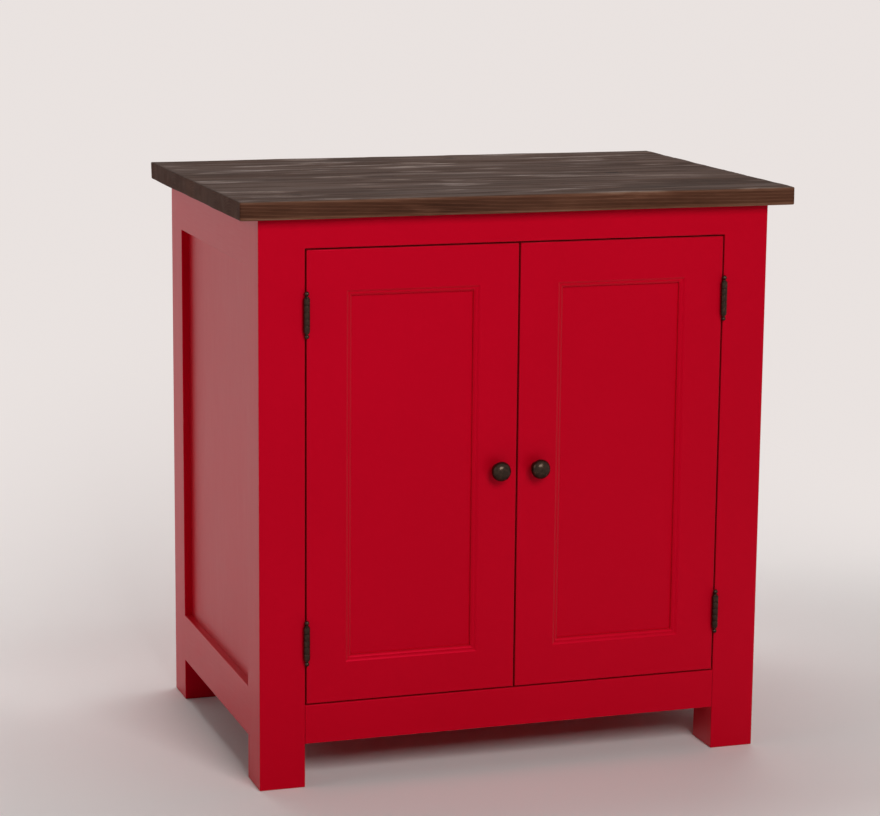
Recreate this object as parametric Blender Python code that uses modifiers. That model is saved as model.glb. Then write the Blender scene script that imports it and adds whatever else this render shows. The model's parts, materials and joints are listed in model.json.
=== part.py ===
"""Two-door kitchen cupboard in painted solid wood, with a plank worktop.

Lengths are metres and +Z is up. The origin lies on the floor, in the middle of the
whole object, and the doors face -Y. Left and right are as seen from the front.
"""

import math

import bmesh
import bpy
from mathutils import Matrix, Vector

# Whole cupboard
BODY_WIDTH = 0.800
BODY_DEPTH = 0.560
BODY_HEIGHT = 0.857
FIT_GAP = 0.0003
CUT_OVERRUN = 0.004
JOIN_OVERLAP = 0.002
WELD_DISTANCE = 0.00001
ARRIS = 0.0014
ARRIS_SEGMENTS = 2
FLAT_ANGLE = math.radians(0.5)
SHARP_ANGLE = math.radians(35.0)

# Posts and rails
POST_SIZE = 0.070
FOOT_CLEARANCE = 0.067
FRONT_RAIL_THICKNESS = 0.022
FRONT_TOP_RAIL_HEIGHT = 0.045
FRONT_BOTTOM_RAIL_HEIGHT = 0.060
SIDE_RAIL_THICKNESS = 0.028
SIDE_TOP_RAIL_HEIGHT = 0.075
SIDE_BOTTOM_RAIL_HEIGHT = 0.076
BACK_RAIL_THICKNESS = 0.028
TENON_LENGTH = 0.025
TENON_THICKNESS = 0.010
TENON_SHOULDER = 0.011

# Panels in their grooves
GROOVE_DEPTH = 0.008
GROOVE_PLAY = 0.0008
SIDE_PANEL_RECESS = 0.012
SIDE_PANEL_THICKNESS = 0.008
BACK_PANEL_RECESS = 0.010
BACK_PANEL_THICKNESS = 0.006

# Worktop
WORKTOP_THICKNESS = 0.028
WORKTOP_OVERHANG_SIDE = 0.033
WORKTOP_OVERHANG_FRONT = 0.025
WORKTOP_OVERHANG_BACK = 0.005
WORKTOP_ARRIS = 0.0025
WORKTOP_BOARDS = 5
BATTEN_WIDTH = 0.060
BATTEN_THICKNESS = 0.020
BATTEN_PLACE_SHARE = 0.54

# Cupboard floor, shelf and what carries them
FLOOR_THICKNESS = 0.018
FLOOR_STEP = 0.008
CLEAT_SIZE = 0.020
SHELF_THICKNESS = 0.018
SHELF_HEIGHT_SHARE = 0.52
SHELF_SETBACK = 0.030
PEG_NOSE_RADIUS = 0.0032
PEG_NOSE_LENGTH = 0.010
PEG_SHANK_RADIUS = 0.0025
PEG_SHANK_LENGTH = 0.012
PEG_ROUND = 0.0008
PEG_EDGE_DISTANCE = 0.020
PEG_HOLE_PITCH = 0.050
PEG_STEPS = 12

# Doors
DOOR_THICKNESS = 0.022
DOOR_GAP = 0.0022
MEETING_GAP = 0.0026
HINGE_GAP = 0.0024
MEMBER_FLAT = 0.060
STEP_ONE_WIDTH = 0.0028
STEP_ONE_DEPTH = 0.0028
STRIP_WIDTH = 0.0032
STEP_TWO_WIDTH = 0.0032
STEP_TWO_DEPTH = 0.0052
STEP_SEGMENTS = 3
DOOR_PANEL_THICKNESS = 0.007

# Hinges, five knuckles on each
BARREL_RADIUS = 0.0048
PIN_RADIUS = 0.0022
LEAF_HEIGHT = 0.050
LEAF_WIDTH = 0.022
LEAF_THICKNESS = 0.0016
LEAF_CORNER = 0.0025
KNUCKLES = 5
KNUCKLE_STEPS = 16
PLATE_START_SHARE = 0.35
HINGE_END_DISTANCE = 0.0693
FINIAL_COLLAR_HEIGHT = 0.0018
FINIAL_NECK_RADIUS = 0.0018
FINIAL_NECK_HEIGHT = 0.0012
FINIAL_RADIUS = 0.0036
FINIAL_SEGMENTS = 4
PIN_STEPS = 12
HINGE_SCREW_RADIUS = 0.0015
HINGE_SCREW_HEAD_RADIUS = 0.0032
HINGE_SCREW_LENGTH = 0.016
HINGE_SCREW_POINT = 0.003
HINGE_SCREW_CROWN = 0.00015
HINGE_SCREW_SPACING = 0.026
HINGE_SCREW_STEPS = 10
SCREW_SLOT_WIDTH = 0.0008
SCREW_SLOT_DEPTH = 0.0007
SCREW_SLOT_LENGTH_SHARE = 0.86

# Knobs. The pairs are shares of the radius named and of the reach.
KNOB_REACH = 0.0280
KNOB_HEAD_RADIUS = 0.0150
KNOB_NECK_RADIUS = 0.0058
KNOB_FOOT_RADIUS = 0.0090
KNOB_HEAD_SHARES = (
    (0.30, 0.985),
    (0.56, 0.945),
    (0.78, 0.870),
    (0.93, 0.770),
    (1.00, 0.655),
    (0.97, 0.565),
    (0.84, 0.500),
    (0.62, 0.455),
)
KNOB_NECK_SHARES = ((1.12, 0.400), (1.00, 0.300), (1.10, 0.190))
KNOB_FOOT_SHARE = 0.110
KNOB_STEPS = 24
SCREW_RADIUS = 0.0020
SCREW_HEAD_RADIUS = 0.0040
SCREW_HEAD_HEIGHT = 0.0022
SCREW_HEAD_EDGE_SHARE = 0.5
SCREW_HEAD_CROWN_SHARE = 0.7
SCREW_BITE = 0.010

# Door stop and magnetic catch
STOP_THICKNESS = 0.018
STOP_LAP = 0.010
CATCH_WIDTH = 0.052
CATCH_HEIGHT = 0.013
CATCH_DEPTH = 0.014
CATCH_EAR = 0.012
CATCH_EAR_THICKNESS = 0.0025
CATCH_HOLE_RADIUS = 0.0020
POLE_THICKNESS = 0.0015
POLE_HEIGHT = 0.009
POLE_PROUD = 0.0010
POLE_SPREAD = 0.007
STRIKE_WIDTH = 0.016
STRIKE_HEIGHT = 0.022
STRIKE_THICKNESS = 0.0012
STRIKE_CORNER = 0.003

# Places that follow from the sizes
HALF_WIDTH = BODY_WIDTH / 2
HALF_OPENING = HALF_WIDTH - POST_SIZE
FRONT_REACH = max(KNOB_REACH + FIT_GAP, WORKTOP_OVERHANG_FRONT)
FRONT_Y = FRONT_REACH - (FRONT_REACH + BODY_DEPTH + WORKTOP_OVERHANG_BACK) / 2
BACK_Y = FRONT_Y + BODY_DEPTH
OPENING_BOTTOM = FOOT_CLEARANCE + FRONT_BOTTOM_RAIL_HEIGHT
OPENING_TOP = BODY_HEIGHT - FRONT_TOP_RAIL_HEIGHT
DOOR_BOTTOM = OPENING_BOTTOM + DOOR_GAP
DOOR_TOP = OPENING_TOP - DOOR_GAP
DOOR_BACK_Y = FRONT_Y + DOOR_THICKNESS
MOULDING_WIDTH = STEP_ONE_WIDTH + STRIP_WIDTH + STEP_TWO_WIDTH
MOULDING_DEPTH = STEP_ONE_DEPTH + STEP_TWO_DEPTH
MEMBER_WIDTH = MEMBER_FLAT + MOULDING_WIDTH
MEETING_X = MEETING_GAP / 2
HINGE_EDGE_X = HALF_OPENING - HINGE_GAP
HINGE_X = HALF_OPENING - HINGE_GAP / 2
HINGE_Y = FRONT_Y - BARREL_RADIUS - FIT_GAP
LEAF_OUTER_FACE = FIT_GAP + LEAF_THICKNESS
FLOOR_TOP = OPENING_BOTTOM + FLOOR_STEP
FLOOR_BOTTOM = FLOOR_TOP - FLOOR_THICKNESS
SHELF_TOP = FLOOR_TOP + (OPENING_TOP - FLOOR_TOP) * SHELF_HEIGHT_SHARE
SHELF_BOTTOM = SHELF_TOP - SHELF_THICKNESS
PEG_Z = SHELF_BOTTOM - FIT_GAP - PEG_NOSE_RADIUS
KNOB_X = MEETING_X + MEMBER_FLAT / 2
KNOB_Z = (DOOR_BOTTOM + DOOR_TOP) / 2
STOP_FRONT_Y = max(FRONT_Y + FRONT_RAIL_THICKNESS, DOOR_BACK_Y) + FIT_GAP
STOP_BACK_Y = STOP_FRONT_Y + STOP_THICKNESS
STOP_BOTTOM = OPENING_TOP - STOP_LAP
CATCH_TOP = STOP_BOTTOM - FIT_GAP
STRIKE_BACK_Y = DOOR_BACK_Y + FIT_GAP + STRIKE_THICKNESS
CATCH_FRONT_Y = STRIKE_BACK_Y + FIT_GAP + POLE_PROUD
UPPER_HINGE_BOTTOM = DOOR_TOP - HINGE_END_DISTANCE - LEAF_HEIGHT
LOWER_HINGE_BOTTOM = DOOR_BOTTOM + HINGE_END_DISTANCE
HINGE_SCREW_Y = HINGE_Y + (BARREL_RADIUS + FIT_GAP + LEAF_WIDTH) / 2
PEG_FRONT_Y = FRONT_Y + POST_SIZE - PEG_EDGE_DISTANCE
PEG_BACK_Y = BACK_Y - POST_SIZE + PEG_EDGE_DISTANCE

SIDES = (("left", -1), ("right", 1))

# Turns of shapes that are made upright about Z
UPRIGHT = Matrix.Identity(4)
ALONG_X = Matrix.Rotation(math.radians(90.0), 4, "Y")
ALONG_Y = Matrix.Rotation(math.radians(90.0), 4, "X")
LYING_ALONG_X = Matrix.Rotation(math.radians(-90.0), 4, "Y")
FACING_FRONT = (math.radians(90.0), 0.0, 0.0)

# Clear the scene and set up its collections
for old in list(bpy.data.objects):
    bpy.data.objects.remove(old, do_unlink=True)
cupboard = bpy.data.collections.new("kitchen_cupboard")
cutters = bpy.data.collections.new("cutters")
for group in (cupboard, cutters):
    bpy.context.scene.collection.children.link(group)


def finish(name, colour, roughness, metallic):
    """A Principled material."""
    made = bpy.data.materials.new(name)
    made.use_nodes = True
    shader = made.node_tree.nodes["Principled BSDF"]
    shader.inputs["Base Color"].default_value = (*colour, 1.0)
    shader.inputs["Roughness"].default_value = roughness
    shader.inputs["Metallic"].default_value = metallic
    return made


RED_PAINT = finish("red_paint", (0.45, 0.003, 0.012), 0.35, 0.0)
DARK_WOOD = finish("dark_stained_wood", (0.075, 0.045, 0.034), 0.5, 0.0)
BRONZE = finish("dark_bronze", (0.045, 0.040, 0.032), 0.35, 1.0)
STEEL = finish("zinc_steel", (0.55, 0.55, 0.54), 0.3, 1.0)
CATCH_PLASTIC = finish("brown_plastic", (0.05, 0.025, 0.015), 0.45, 0.0)


def body(name, place):
    """An empty that carries the pieces of one rigid body; its place is on the body's joint."""
    made = bpy.data.objects.new(name, None)
    made.location = place
    cupboard.objects.link(made)
    return made


CARCASS = body("carcass", (0.0, 0.0, 0.0))
DOORS = {side: body(f"{label}_door", (side * HINGE_X, HINGE_Y, 0.0)) for label, side in SIDES}


# Shapes
def piece(name, mesh, centre, material, carrier):
    """A node of the cupboard: mesh about its own origin, which lies at centre."""
    made = bpy.data.objects.new(name, mesh)
    mesh.name = name
    mesh.materials.append(material)
    made.parent = carrier
    made.location = Vector(centre) - carrier.location
    cupboard.objects.link(made)
    return made


def helper(name, mesh, centre):
    """A cutter or a shape to be joined on, which is not rendered."""
    made = bpy.data.objects.new(name, mesh)
    made.location = centre
    made.hide_render = True
    made.display_type = "WIRE"
    cutters.objects.link(made)
    return made


def sorted_corners(one, other):
    """The lowest and highest corner of the box between two corners, in any order."""
    low = Vector([min(pair) for pair in zip(one, other)])
    high = Vector([max(pair) for pair in zip(one, other)])
    return low, high


def box_mesh(size, rounded="", radius=0.0, segments=ARRIS_SEGMENTS):
    """A box about the origin, its edges along the axes named in rounded eased to radius."""
    shape = bmesh.new()
    bmesh.ops.create_cube(shape, size=1.0, matrix=Matrix.Diagonal((*size, 1.0)))
    eased = [edge for edge in shape.edges if edge_axis(edge) in rounded]
    if eased:
        bmesh.ops.bevel(shape, geom=eased, offset=radius, segments=segments, profile=0.5, affect="EDGES")
    mesh = bpy.data.meshes.new("box")
    shape.to_mesh(mesh)
    shape.free()
    return mesh


def edge_axis(edge):
    """The letter of the axis that an edge of a box runs along."""
    run = edge.verts[1].co - edge.verts[0].co
    return "XYZ"[max(range(3), key=lambda axis: abs(run[axis]))]


def board(name, one, other, carrier, rounded="", material=RED_PAINT, radius=ARRIS):
    """A straight piece between two corners."""
    low, high = sorted_corners(one, other)
    return piece(name, box_mesh(high - low, rounded, radius), (low + high) / 2, material, carrier)


def use(target, tool, operation):
    """Adds a Boolean of tool to target."""
    modifier = target.modifiers.new(tool.name, "BOOLEAN")
    modifier.operation = operation
    modifier.object = tool
    modifier.solver = "EXACT"


def box_tool(name, one, other):
    low, high = sorted_corners(one, other)
    return helper(name, box_mesh(high - low), (low + high) / 2)


def cut_box(target, name, one, other):
    use(target, box_tool(name, one, other), "DIFFERENCE")


def cone_mesh(base, tip, length, steps, turn):
    """A closed cone stump about the origin, its base at -Z before it is turned by a matrix."""
    shape = bmesh.new()
    bmesh.ops.create_cone(
        shape, cap_ends=True, segments=steps, radius1=base, radius2=tip, depth=length, matrix=turn
    )
    for face in shape.faces:
        face.smooth = len(face.verts) != steps
    mesh = bpy.data.meshes.new("cone")
    shape.to_mesh(mesh)
    shape.free()
    return mesh


def rod_mesh(radius, length, steps, turn):
    """A closed cylinder about the origin, turned from +Z by a matrix."""
    return cone_mesh(radius, radius, length, steps, turn)


def finished_mesh(data, prepare):
    """The mesh that an object of that data has once prepare has set it up."""
    made = bpy.data.objects.new("rough", data)
    bpy.context.scene.collection.objects.link(made)
    prepare(made)
    graph = bpy.context.evaluated_depsgraph_get()
    mesh = bpy.data.meshes.new_from_object(made.evaluated_get(graph))
    bpy.data.objects.remove(made, do_unlink=True)
    return mesh


def prism_mesh(outline, length, turn=UPRIGHT):
    """A flat outline in XY extruded by length about its plane, then turned by a matrix."""
    curve = bpy.data.curves.new("outline", "CURVE")
    curve.dimensions = "2D"
    curve.fill_mode = "BOTH"
    curve.extrude = length / 2
    spline = curve.splines.new("POLY")
    spline.points.add(len(outline) - 1)
    for point, (x, y) in zip(spline.points, outline):
        point.co = (x, y, 0.0, 1.0)
    spline.use_cyclic_u = True
    mesh = finished_mesh(curve, lambda made: None)
    bpy.data.curves.remove(curve)
    shape = bmesh.new()
    shape.from_mesh(mesh)
    bmesh.ops.remove_doubles(shape, verts=shape.verts, dist=WELD_DISTANCE)
    bmesh.ops.dissolve_limit(
        shape, angle_limit=FLAT_ANGLE, verts=shape.verts, edges=shape.edges, delimit={"NORMAL"}
    )
    bmesh.ops.transform(shape, matrix=turn, verts=shape.verts)
    bmesh.ops.recalc_face_normals(shape, faces=shape.faces)
    shape.to_mesh(mesh)
    shape.free()
    return mesh


def turned_mesh(profile, steps):
    """A turned shape about Z. The profile is radius and height, down the outer side from the top."""
    line = bpy.data.meshes.new("profile")
    points = [(radius, 0.0, height) for radius, height in profile]
    edges = [(index, index + 1) for index in range(len(points) - 1)]
    line.from_pydata(points, edges, [])

    def turn(made):
        screw = made.modifiers.new("turning", "SCREW")
        screw.steps = steps
        screw.render_steps = steps
        screw.use_merge_vertices = True
        screw.merge_threshold = WELD_DISTANCE

    mesh = finished_mesh(line, turn)
    bpy.data.meshes.remove(line)
    mesh.shade_smooth()
    mesh.set_sharp_from_angle(angle=SHARP_ANGLE)
    return mesh


def turned(name, profile, steps, centre, material, carrier, turn=(0.0, 0.0, 0.0)):
    """A turned piece."""
    made = piece(name, turned_mesh(profile, steps), centre, material, carrier)
    made.rotation_euler = turn
    return made


def arc(centre, across, up, start, end, segments):
    """Points on a quarter or other part of an ellipse about centre."""
    angles = [math.radians(start + (end - start) * step / segments) for step in range(segments + 1)]
    return [(centre[0] + across * math.cos(a), centre[1] + up * math.sin(a)) for a in angles]


def offset_outline(outline, distance):
    """A closed anticlockwise outline moved outwards by distance, with mitred corners."""
    moved = []
    for index, corner in enumerate(outline):
        here = Vector(corner)
        before = (here - Vector(outline[index - 1])).normalized()
        after = (Vector(outline[(index + 1) % len(outline)]) - here).normalized()
        normal_before = Vector((before.y, -before.x))
        normal_after = Vector((after.y, -after.x))
        mitre = normal_before + normal_after
        moved.append(tuple(here + mitre * (distance / (1.0 + normal_before.dot(normal_after)))))
    return moved


# Posts, rails and their joints
def post(name, side, front):
    """A square corner post; front tells a front post from a back one."""
    near = FRONT_Y if front else BACK_Y - POST_SIZE
    return board(
        name,
        (side * HALF_WIDTH, near, 0.0),
        (side * HALF_OPENING, near + POST_SIZE, BODY_HEIGHT - FIT_GAP),
        CARCASS,
        "Z",
    )


def tenon(rail, posts, axis, low, high):
    """Adds a tenon on both ends of a rail, along axis, and cuts its mortises in the two posts.

    The rail's ends are low and high along axis; its tenons keep to the rail's shoulders.
    """
    across = 1 - axis
    for post_piece, end, outwards in ((posts[0], low, -1), (posts[1], high, 1)):
        middle = (rail["low"][across] + rail["high"][across]) / 2
        root = [0.0, 0.0, rail["low"][2] + TENON_SHOULDER]
        tip = [0.0, 0.0, rail["high"][2] - TENON_SHOULDER]
        root[axis] = end - outwards * JOIN_OVERLAP
        tip[axis] = end + outwards * TENON_LENGTH
        root[across] = middle - TENON_THICKNESS / 2
        tip[across] = middle + TENON_THICKNESS / 2
        use(rail["piece"], box_tool(rail["piece"].name + "_tenon", root, tip), "UNION")
        grown_low, grown_high = sorted_corners(root, tip)
        gap = Vector((FIT_GAP, FIT_GAP, FIT_GAP))
        cut_box(post_piece, post_piece.name + "_mortise", grown_low - gap, grown_high + gap)


def rail(name, one, other, axis, posts):
    """A rail along X (axis 0) or Y (axis 1), tenoned into two posts."""
    low, high = sorted_corners(one, other)
    made = board(name, low, high, CARCASS, "XY"[axis])
    tenon({"piece": made, "low": low, "high": high}, posts, axis, low[axis], high[axis])
    return made


def build_frame():
    """Four posts joined by rails on all four sides. Returns the posts and rails by name."""
    frame = {}
    for label, side in SIDES:
        frame[f"front_{label}"] = post(f"front_{label}_post", side, True)
        frame[f"back_{label}"] = post(f"back_{label}_post", side, False)
    span = HALF_OPENING - FIT_GAP
    top = BODY_HEIGHT - FIT_GAP
    low_rail = (FOOT_CLEARANCE, FOOT_CLEARANCE + SIDE_BOTTOM_RAIL_HEIGHT)
    high_rail = (top - SIDE_TOP_RAIL_HEIGHT, top)
    across = (
        ("front_top", FRONT_Y, FRONT_Y + FRONT_RAIL_THICKNESS, (OPENING_TOP, top)),
        ("front_bottom", FRONT_Y, FRONT_Y + FRONT_RAIL_THICKNESS, (FOOT_CLEARANCE, OPENING_BOTTOM)),
        ("back_top", BACK_Y, BACK_Y - BACK_RAIL_THICKNESS, high_rail),
        ("back_bottom", BACK_Y, BACK_Y - BACK_RAIL_THICKNESS, low_rail),
    )
    for place, outer, inner, (bottom, crown) in across:
        row = place.split("_")[0]
        posts = (frame[f"{row}_left"], frame[f"{row}_right"])
        frame[place] = rail(f"{place}_rail", (-span, outer, bottom), (span, inner, crown), 0, posts)
    near = FRONT_Y + POST_SIZE + FIT_GAP
    far = BACK_Y - POST_SIZE - FIT_GAP
    for label, side in SIDES:
        posts = (frame[f"front_{label}"], frame[f"back_{label}"])
        outer = side * HALF_WIDTH
        inner = side * (HALF_WIDTH - SIDE_RAIL_THICKNESS)
        for place, (bottom, crown) in (("top", high_rail), ("bottom", low_rail)):
            name = f"{label}_side_{place}_rail"
            frame[f"{label}_{place}"] = rail(name, (outer, near, bottom), (inner, far, crown), 1, posts)
    return frame


# Panels held in grooves in the posts and rails
def panel_in_grooves(name, one, other, thin_axis, run_axis, posts, rails):
    """A panel over the opening between two corners, with a groove round it in four members.

    The corners give the opening between the members and the panel's own thickness.
    """
    low, high = sorted_corners(one, other)
    reach = GROOVE_DEPTH - GROOVE_PLAY
    panel_low, panel_high = low.copy(), high.copy()
    for axis in (run_axis, 2):
        panel_low[axis] -= reach
        panel_high[axis] += reach
    board(name, panel_low, panel_high, CARCASS)
    groove_low, groove_high = low.copy(), high.copy()
    groove_low[thin_axis] -= FIT_GAP
    groove_high[thin_axis] += FIT_GAP
    for axis in (run_axis, 2):
        groove_low[axis] -= GROOVE_DEPTH
        groove_high[axis] += GROOVE_DEPTH
    groove = box_tool(name + "_groove", groove_low, groove_high)
    for member in (*posts, *rails):
        use(member, groove, "DIFFERENCE")


def build_panels(frame):
    """The recessed panels of the two sides and the back."""
    bottom = FOOT_CLEARANCE + SIDE_BOTTOM_RAIL_HEIGHT
    top = BODY_HEIGHT - FIT_GAP - SIDE_TOP_RAIL_HEIGHT
    for label, side in SIDES:
        outer = side * (HALF_WIDTH - SIDE_PANEL_RECESS)
        inner = side * (HALF_WIDTH - SIDE_PANEL_RECESS - SIDE_PANEL_THICKNESS)
        panel_in_grooves(
            f"{label}_side_panel",
            (outer, FRONT_Y + POST_SIZE, bottom),
            (inner, BACK_Y - POST_SIZE, top),
            0,
            1,
            (frame[f"front_{label}"], frame[f"back_{label}"]),
            (frame[f"{label}_top"], frame[f"{label}_bottom"]),
        )
    rear = BACK_Y - BACK_PANEL_RECESS
    panel_in_grooves(
        "back_panel",
        (-HALF_OPENING, rear - BACK_PANEL_THICKNESS, bottom),
        (HALF_OPENING, rear, top),
        1,
        0,
        (frame["back_left"], frame["back_right"]),
        (frame["back_top"], frame["back_bottom"]),
    )


# Floor, shelf and their supports
def notched_board(name, bottom, thickness, front, back, wide_half):
    """A board that fills the body between the posts and reaches out between them at the sides."""
    narrow_half = HALF_OPENING - FIT_GAP
    near = FRONT_Y + POST_SIZE + FIT_GAP
    far = BACK_Y - POST_SIZE - FIT_GAP
    right_side = [
        (narrow_half, front),
        (narrow_half, near),
        (wide_half, near),
        (wide_half, far),
        (narrow_half, far),
        (narrow_half, back),
    ]
    outline = right_side + [(-x, y) for x, y in reversed(right_side)]
    return piece(
        name, prism_mesh(outline, thickness), (0.0, 0.0, bottom + thickness / 2), RED_PAINT, CARCASS
    )


def peg_profile():
    """A shelf peg that stands on its shank, nose up."""
    nose_top = PEG_NOSE_LENGTH + FIT_GAP
    return [
        (0.0, nose_top),
        (PEG_NOSE_RADIUS - PEG_ROUND, nose_top),
        (PEG_NOSE_RADIUS, nose_top - PEG_ROUND),
        (PEG_NOSE_RADIUS, FIT_GAP),
        (PEG_SHANK_RADIUS, FIT_GAP),
        (PEG_SHANK_RADIUS, PEG_ROUND - PEG_SHANK_LENGTH),
        (PEG_SHANK_RADIUS - PEG_ROUND, -PEG_SHANK_LENGTH),
        (0.0, -PEG_SHANK_LENGTH),
    ]


def build_inside(frame):
    """Floor on its cleats, and the shelf on four pegs in rows of holes."""
    front = FRONT_Y + FRONT_RAIL_THICKNESS + FIT_GAP
    back = BACK_Y - BACK_RAIL_THICKNESS - FIT_GAP
    rail_face = HALF_WIDTH - SIDE_RAIL_THICKNESS - FIT_GAP
    panel_face = HALF_WIDTH - SIDE_PANEL_RECESS - SIDE_PANEL_THICKNESS - FIT_GAP
    floor_front = max(front, DOOR_BACK_Y + FIT_GAP)
    notched_board("floor_board", FLOOR_BOTTOM, FLOOR_THICKNESS, floor_front, back, rail_face)
    shelf_front = DOOR_BACK_Y + SHELF_SETBACK
    notched_board("shelf", SHELF_BOTTOM, SHELF_THICKNESS, shelf_front, back, panel_face)
    cleat_top = FLOOR_BOTTOM - FIT_GAP
    for label, side in SIDES:
        board(
            f"{label}_floor_cleat",
            (side * rail_face, FRONT_Y + POST_SIZE + FIT_GAP, cleat_top - CLEAT_SIZE),
            (side * (rail_face - CLEAT_SIZE), BACK_Y - POST_SIZE - FIT_GAP, cleat_top),
            CARCASS,
            "Y",
        )
        for row, y in (("front", PEG_FRONT_Y), ("back", PEG_BACK_Y)):
            drill_peg_holes(frame[f"{row}_{label}"], side, y)
            turned(
                f"{row}_{label}_shelf_peg",
                peg_profile(),
                PEG_STEPS,
                (side * HALF_OPENING, y, PEG_Z),
                STEEL,
                CARCASS,
                (0.0, -side * math.radians(90.0), 0.0),
            )


def drill_peg_holes(post_piece, side, y):
    """A row of holes in a post, to set the shelf at one of three heights."""
    depth = PEG_SHANK_LENGTH + FIT_GAP
    for step in (-1, 0, 1):
        hole = helper(
            f"{post_piece.name}_peg_hole",
            rod_mesh(PEG_SHANK_RADIUS + FIT_GAP, depth + CUT_OVERRUN, PEG_STEPS, ALONG_X),
            (side * (HALF_OPENING + (depth - CUT_OVERRUN) / 2), y, PEG_Z + step * PEG_HOLE_PITCH),
        )
        use(post_piece, hole, "DIFFERENCE")


# Worktop
def build_worktop():
    """Boards glued edge to edge, held flat by two battens underneath."""
    half = HALF_WIDTH + WORKTOP_OVERHANG_SIDE
    front = FRONT_Y - WORKTOP_OVERHANG_FRONT
    back = BACK_Y + WORKTOP_OVERHANG_BACK
    size = Vector((2 * half, back - front, WORKTOP_THICKNESS))
    centre = Vector((0.0, (front + back) / 2, BODY_HEIGHT + WORKTOP_THICKNESS / 2))
    pitch = size.y / WORKTOP_BOARDS
    for index in range(WORKTOP_BOARDS):
        whole = box_mesh(size, "XYZ", WORKTOP_ARRIS, ARRIS_SEGMENTS + 1)
        made = piece(f"worktop_board_{index + 1}", whole, centre, DARK_WOOD, CARCASS)
        near = front + index * pitch + (FIT_GAP / 2 if index else -CUT_OVERRUN)
        far = front + (index + 1) * pitch + (CUT_OVERRUN if index == WORKTOP_BOARDS - 1 else -FIT_GAP / 2)
        strip = box_tool(
            made.name + "_strip",
            (-half - CUT_OVERRUN, near, BODY_HEIGHT - CUT_OVERRUN),
            (half + CUT_OVERRUN, far, BODY_HEIGHT + WORKTOP_THICKNESS + CUT_OVERRUN),
        )
        use(made, strip, "INTERSECT")
    top = BODY_HEIGHT - FIT_GAP
    for label, side in SIDES:
        middle = side * HALF_WIDTH * BATTEN_PLACE_SHARE
        board(
            f"{label}_worktop_batten",
            (middle - BATTEN_WIDTH / 2, STOP_BACK_Y + FIT_GAP, top - BATTEN_THICKNESS),
            (middle + BATTEN_WIDTH / 2, BACK_Y - BACK_RAIL_THICKNESS - FIT_GAP, top),
            CARCASS,
            "Y",
        )


# Door frame members
def member_outline():
    """Section of a door stile or rail, anticlockwise.

    The first number runs from the door's edge inwards, the second from its front to its back.
    """
    groove_front = MOULDING_DEPTH
    groove_back = MOULDING_DEPTH + DOOR_PANEL_THICKNESS + 2 * FIT_GAP
    groove_floor = MEMBER_WIDTH - GROOVE_DEPTH
    front = arc((ARRIS, ARRIS), ARRIS, ARRIS, 180.0, 270.0, ARRIS_SEGMENTS)
    first = (MEMBER_FLAT, STEP_ONE_DEPTH)
    step_one = arc(first, STEP_ONE_WIDTH, STEP_ONE_DEPTH, 270.0, 360.0, STEP_SEGMENTS)
    second = (MEMBER_WIDTH - STEP_TWO_WIDTH, MOULDING_DEPTH)
    step_two = arc(second, STEP_TWO_WIDTH, STEP_TWO_DEPTH, 270.0, 360.0, STEP_SEGMENTS)
    groove = [
        (groove_floor, groove_front),
        (groove_floor, groove_back),
        (MEMBER_WIDTH, groove_back),
        (MEMBER_WIDTH, DOOR_THICKNESS),
    ]
    back = arc((ARRIS, DOOR_THICKNESS - ARRIS), ARRIS, ARRIS, 90.0, 180.0, ARRIS_SEGMENTS)
    return front + step_one + step_two + groove + back


def placed_outline(outline, start, direction):
    """The section moved to its edge, running in direction; y is the door's depth."""
    return [(start + direction * a, FRONT_Y + b) for a, b in outline]


def stile(name, edge, direction, carrier):
    """An upright of a door. Its shadow, grown by the fit, shapes the ends of the rails."""
    height = DOOR_TOP - DOOR_BOTTOM
    middle = (DOOR_TOP + DOOR_BOTTOM) / 2
    made = piece(
        name,
        prism_mesh(placed_outline(member_outline(), edge, direction), height),
        (0.0, 0.0, middle),
        RED_PAINT,
        carrier,
    )
    grown = placed_outline(offset_outline(member_outline(), FIT_GAP), edge, direction)
    shadow = helper(name + "_scribe", prism_mesh(grown, height + 2 * CUT_OVERRUN), (0.0, 0.0, middle))
    return made, shadow


def door_rail(name, edge, direction, span, shadows, carrier):
    """A rail of a door: its ends are scribed over the stiles' moulding and enter their grooves."""
    low, high = span
    outline = placed_outline(member_outline(), edge, direction)
    mesh = prism_mesh(outline, high - low, LYING_ALONG_X)
    made = piece(name, mesh, ((low + high) / 2, 0.0, 0.0), RED_PAINT, carrier)
    for shadow in shadows:
        use(made, shadow, "DIFFERENCE")
    return made


def knob_profile():
    """A turned mushroom knob that stands on the door, with a blind hole for its screw."""
    bore = SCREW_RADIUS + FIT_GAP
    foot = FIT_GAP
    points = [(0.0, KNOB_REACH + FIT_GAP)]
    for share, height_share in KNOB_HEAD_SHARES:
        points.append((KNOB_HEAD_RADIUS * share, foot + KNOB_REACH * height_share))
    for share, height_share in KNOB_NECK_SHARES:
        points.append((KNOB_NECK_RADIUS * share, foot + KNOB_REACH * height_share))
    points += [
        (KNOB_FOOT_RADIUS, foot + KNOB_REACH * KNOB_FOOT_SHARE),
        (KNOB_FOOT_RADIUS, foot),
        (bore, foot),
        (bore, foot + SCREW_BITE + FIT_GAP),
        (0.0, foot + SCREW_BITE + FIT_GAP),
    ]
    return points


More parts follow.
